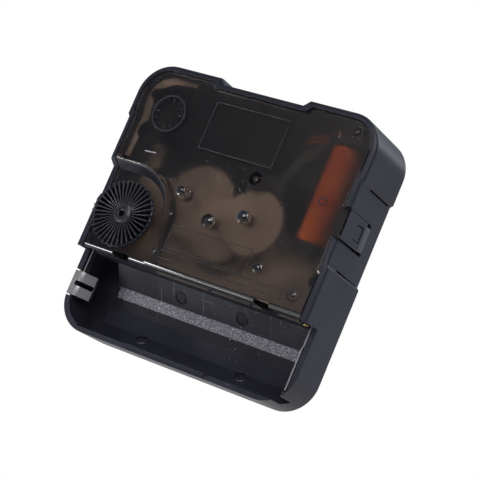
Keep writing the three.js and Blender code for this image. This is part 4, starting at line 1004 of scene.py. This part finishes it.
# %% The floor
FLOOR_Z, FLOOR_R, FADE_START, FADE_END, MIRRORED_LESS = -0.09, 0.5, 0.12, 0.3, -0.4
floor_mesh = bmesh.new()
below = Matrix.Translation((0, 0, FLOOR_Z))
bmesh.ops.create_circle(floor_mesh, cap_ends=True, radius=FLOOR_R, segments=96, matrix=below)
floor_data = bpy.data.meshes.new("floor")
floor_mesh.to_mesh(floor_data)
floor_mesh.free()
floor = bpy.data.objects.new("floor", floor_data)
SCENE.collection.objects.link(floor)
floor_white, tree, shader = new_material("floor_white")
place = add(tree, "TexCoord").outputs["Object"]
paper = blend(tree, noise(tree, place, 40.0), (0.86, 0.86, 0.86, 1), (0.9, 0.9, 0.9, 1))
feed(tree, shader, {"Base Color": paper, "Roughness": 0.7})
level_place = add(tree, "Mapping", {"Vector": place, "Scale": (1, 1, 0)}).outputs[0]
reach = add(tree, "VectorMath", {0: level_place}, operation="LENGTH").outputs["Value"]
path = add(tree, "LightPath").outputs
fade = times(tree, ramp(tree, reach, FADE_START, FADE_END), path["Is Camera Ray"])
fade = larger(tree, fade, path["Is Glossy Ray"])
level = raised(tree, 1.0, path["Is Glossy Ray"], MIRRORED_LESS)
white = add(tree, "Emission", {"Color": PLAIN_WHITE, "Strength": level})
mix = add(tree, "MixShader", {0: fade, 1: shader.outputs[0], 2: white.outputs[0]})
feed(tree, tree.nodes["Material Output"], {0: mix.outputs[0]})
floor_data.materials.append(floor_white)
print("floor is", round(-FLOOR_Z * 1000), "mm below the hand shafts")

# %% [markdown]
# Five lamps stand around. A small soft box close to the floor at the left lights the bay and the knob, and
# the bay's left wall throws its shadow into the bay. A narrow strip near the floor draws the pale line along
# the lip's roll. A wide one at the right lights the side, one behind lights the top edges and the floor, and
# one over the cover gives the domes and ribs their glints.


# %% The lamps
def soft_box(name, direction, distance, size, power):
    """A square lamp in a direction from the movement, turned to face it."""
    data = bpy.data.lights.new(name, "AREA")
    data.size = size
    data.energy = power
    lamp = bpy.data.objects.new(name, data)
    SCENE.collection.objects.link(lamp)
    lamp.location = Vector(direction).normalized() * distance
    lamp.rotation_euler = lamp.location.to_track_quat("Z", "Y").to_euler()
    lamp.visible_camera = False
    return lamp


FACING_UP = (math.pi, 0, 0)
soft_box("low_box", (0.62, 0.62, -0.48), distance=0.14, size=0.035, power=0.05)
lip_strip = soft_box("lip_strip", (0.6, 0.46, -0.85), distance=0.1137, size=0.055, power=0.01)
lip_strip.data.shape = "RECTANGLE"
lip_strip.data.size_y = 0.012
lip_strip.rotation_euler = FACING_UP
soft_box("fill_box", (-0.45, 0.70, 0.55), distance=0.8, size=0.6, power=3.4)
soft_box("back_box", (-0.35, -0.5, 0.8), distance=0.9, size=0.8, power=3.0)
soft_box("glint_box", (0.187, 0.935, 0.30), distance=0.7, size=0.18, power=0.6)
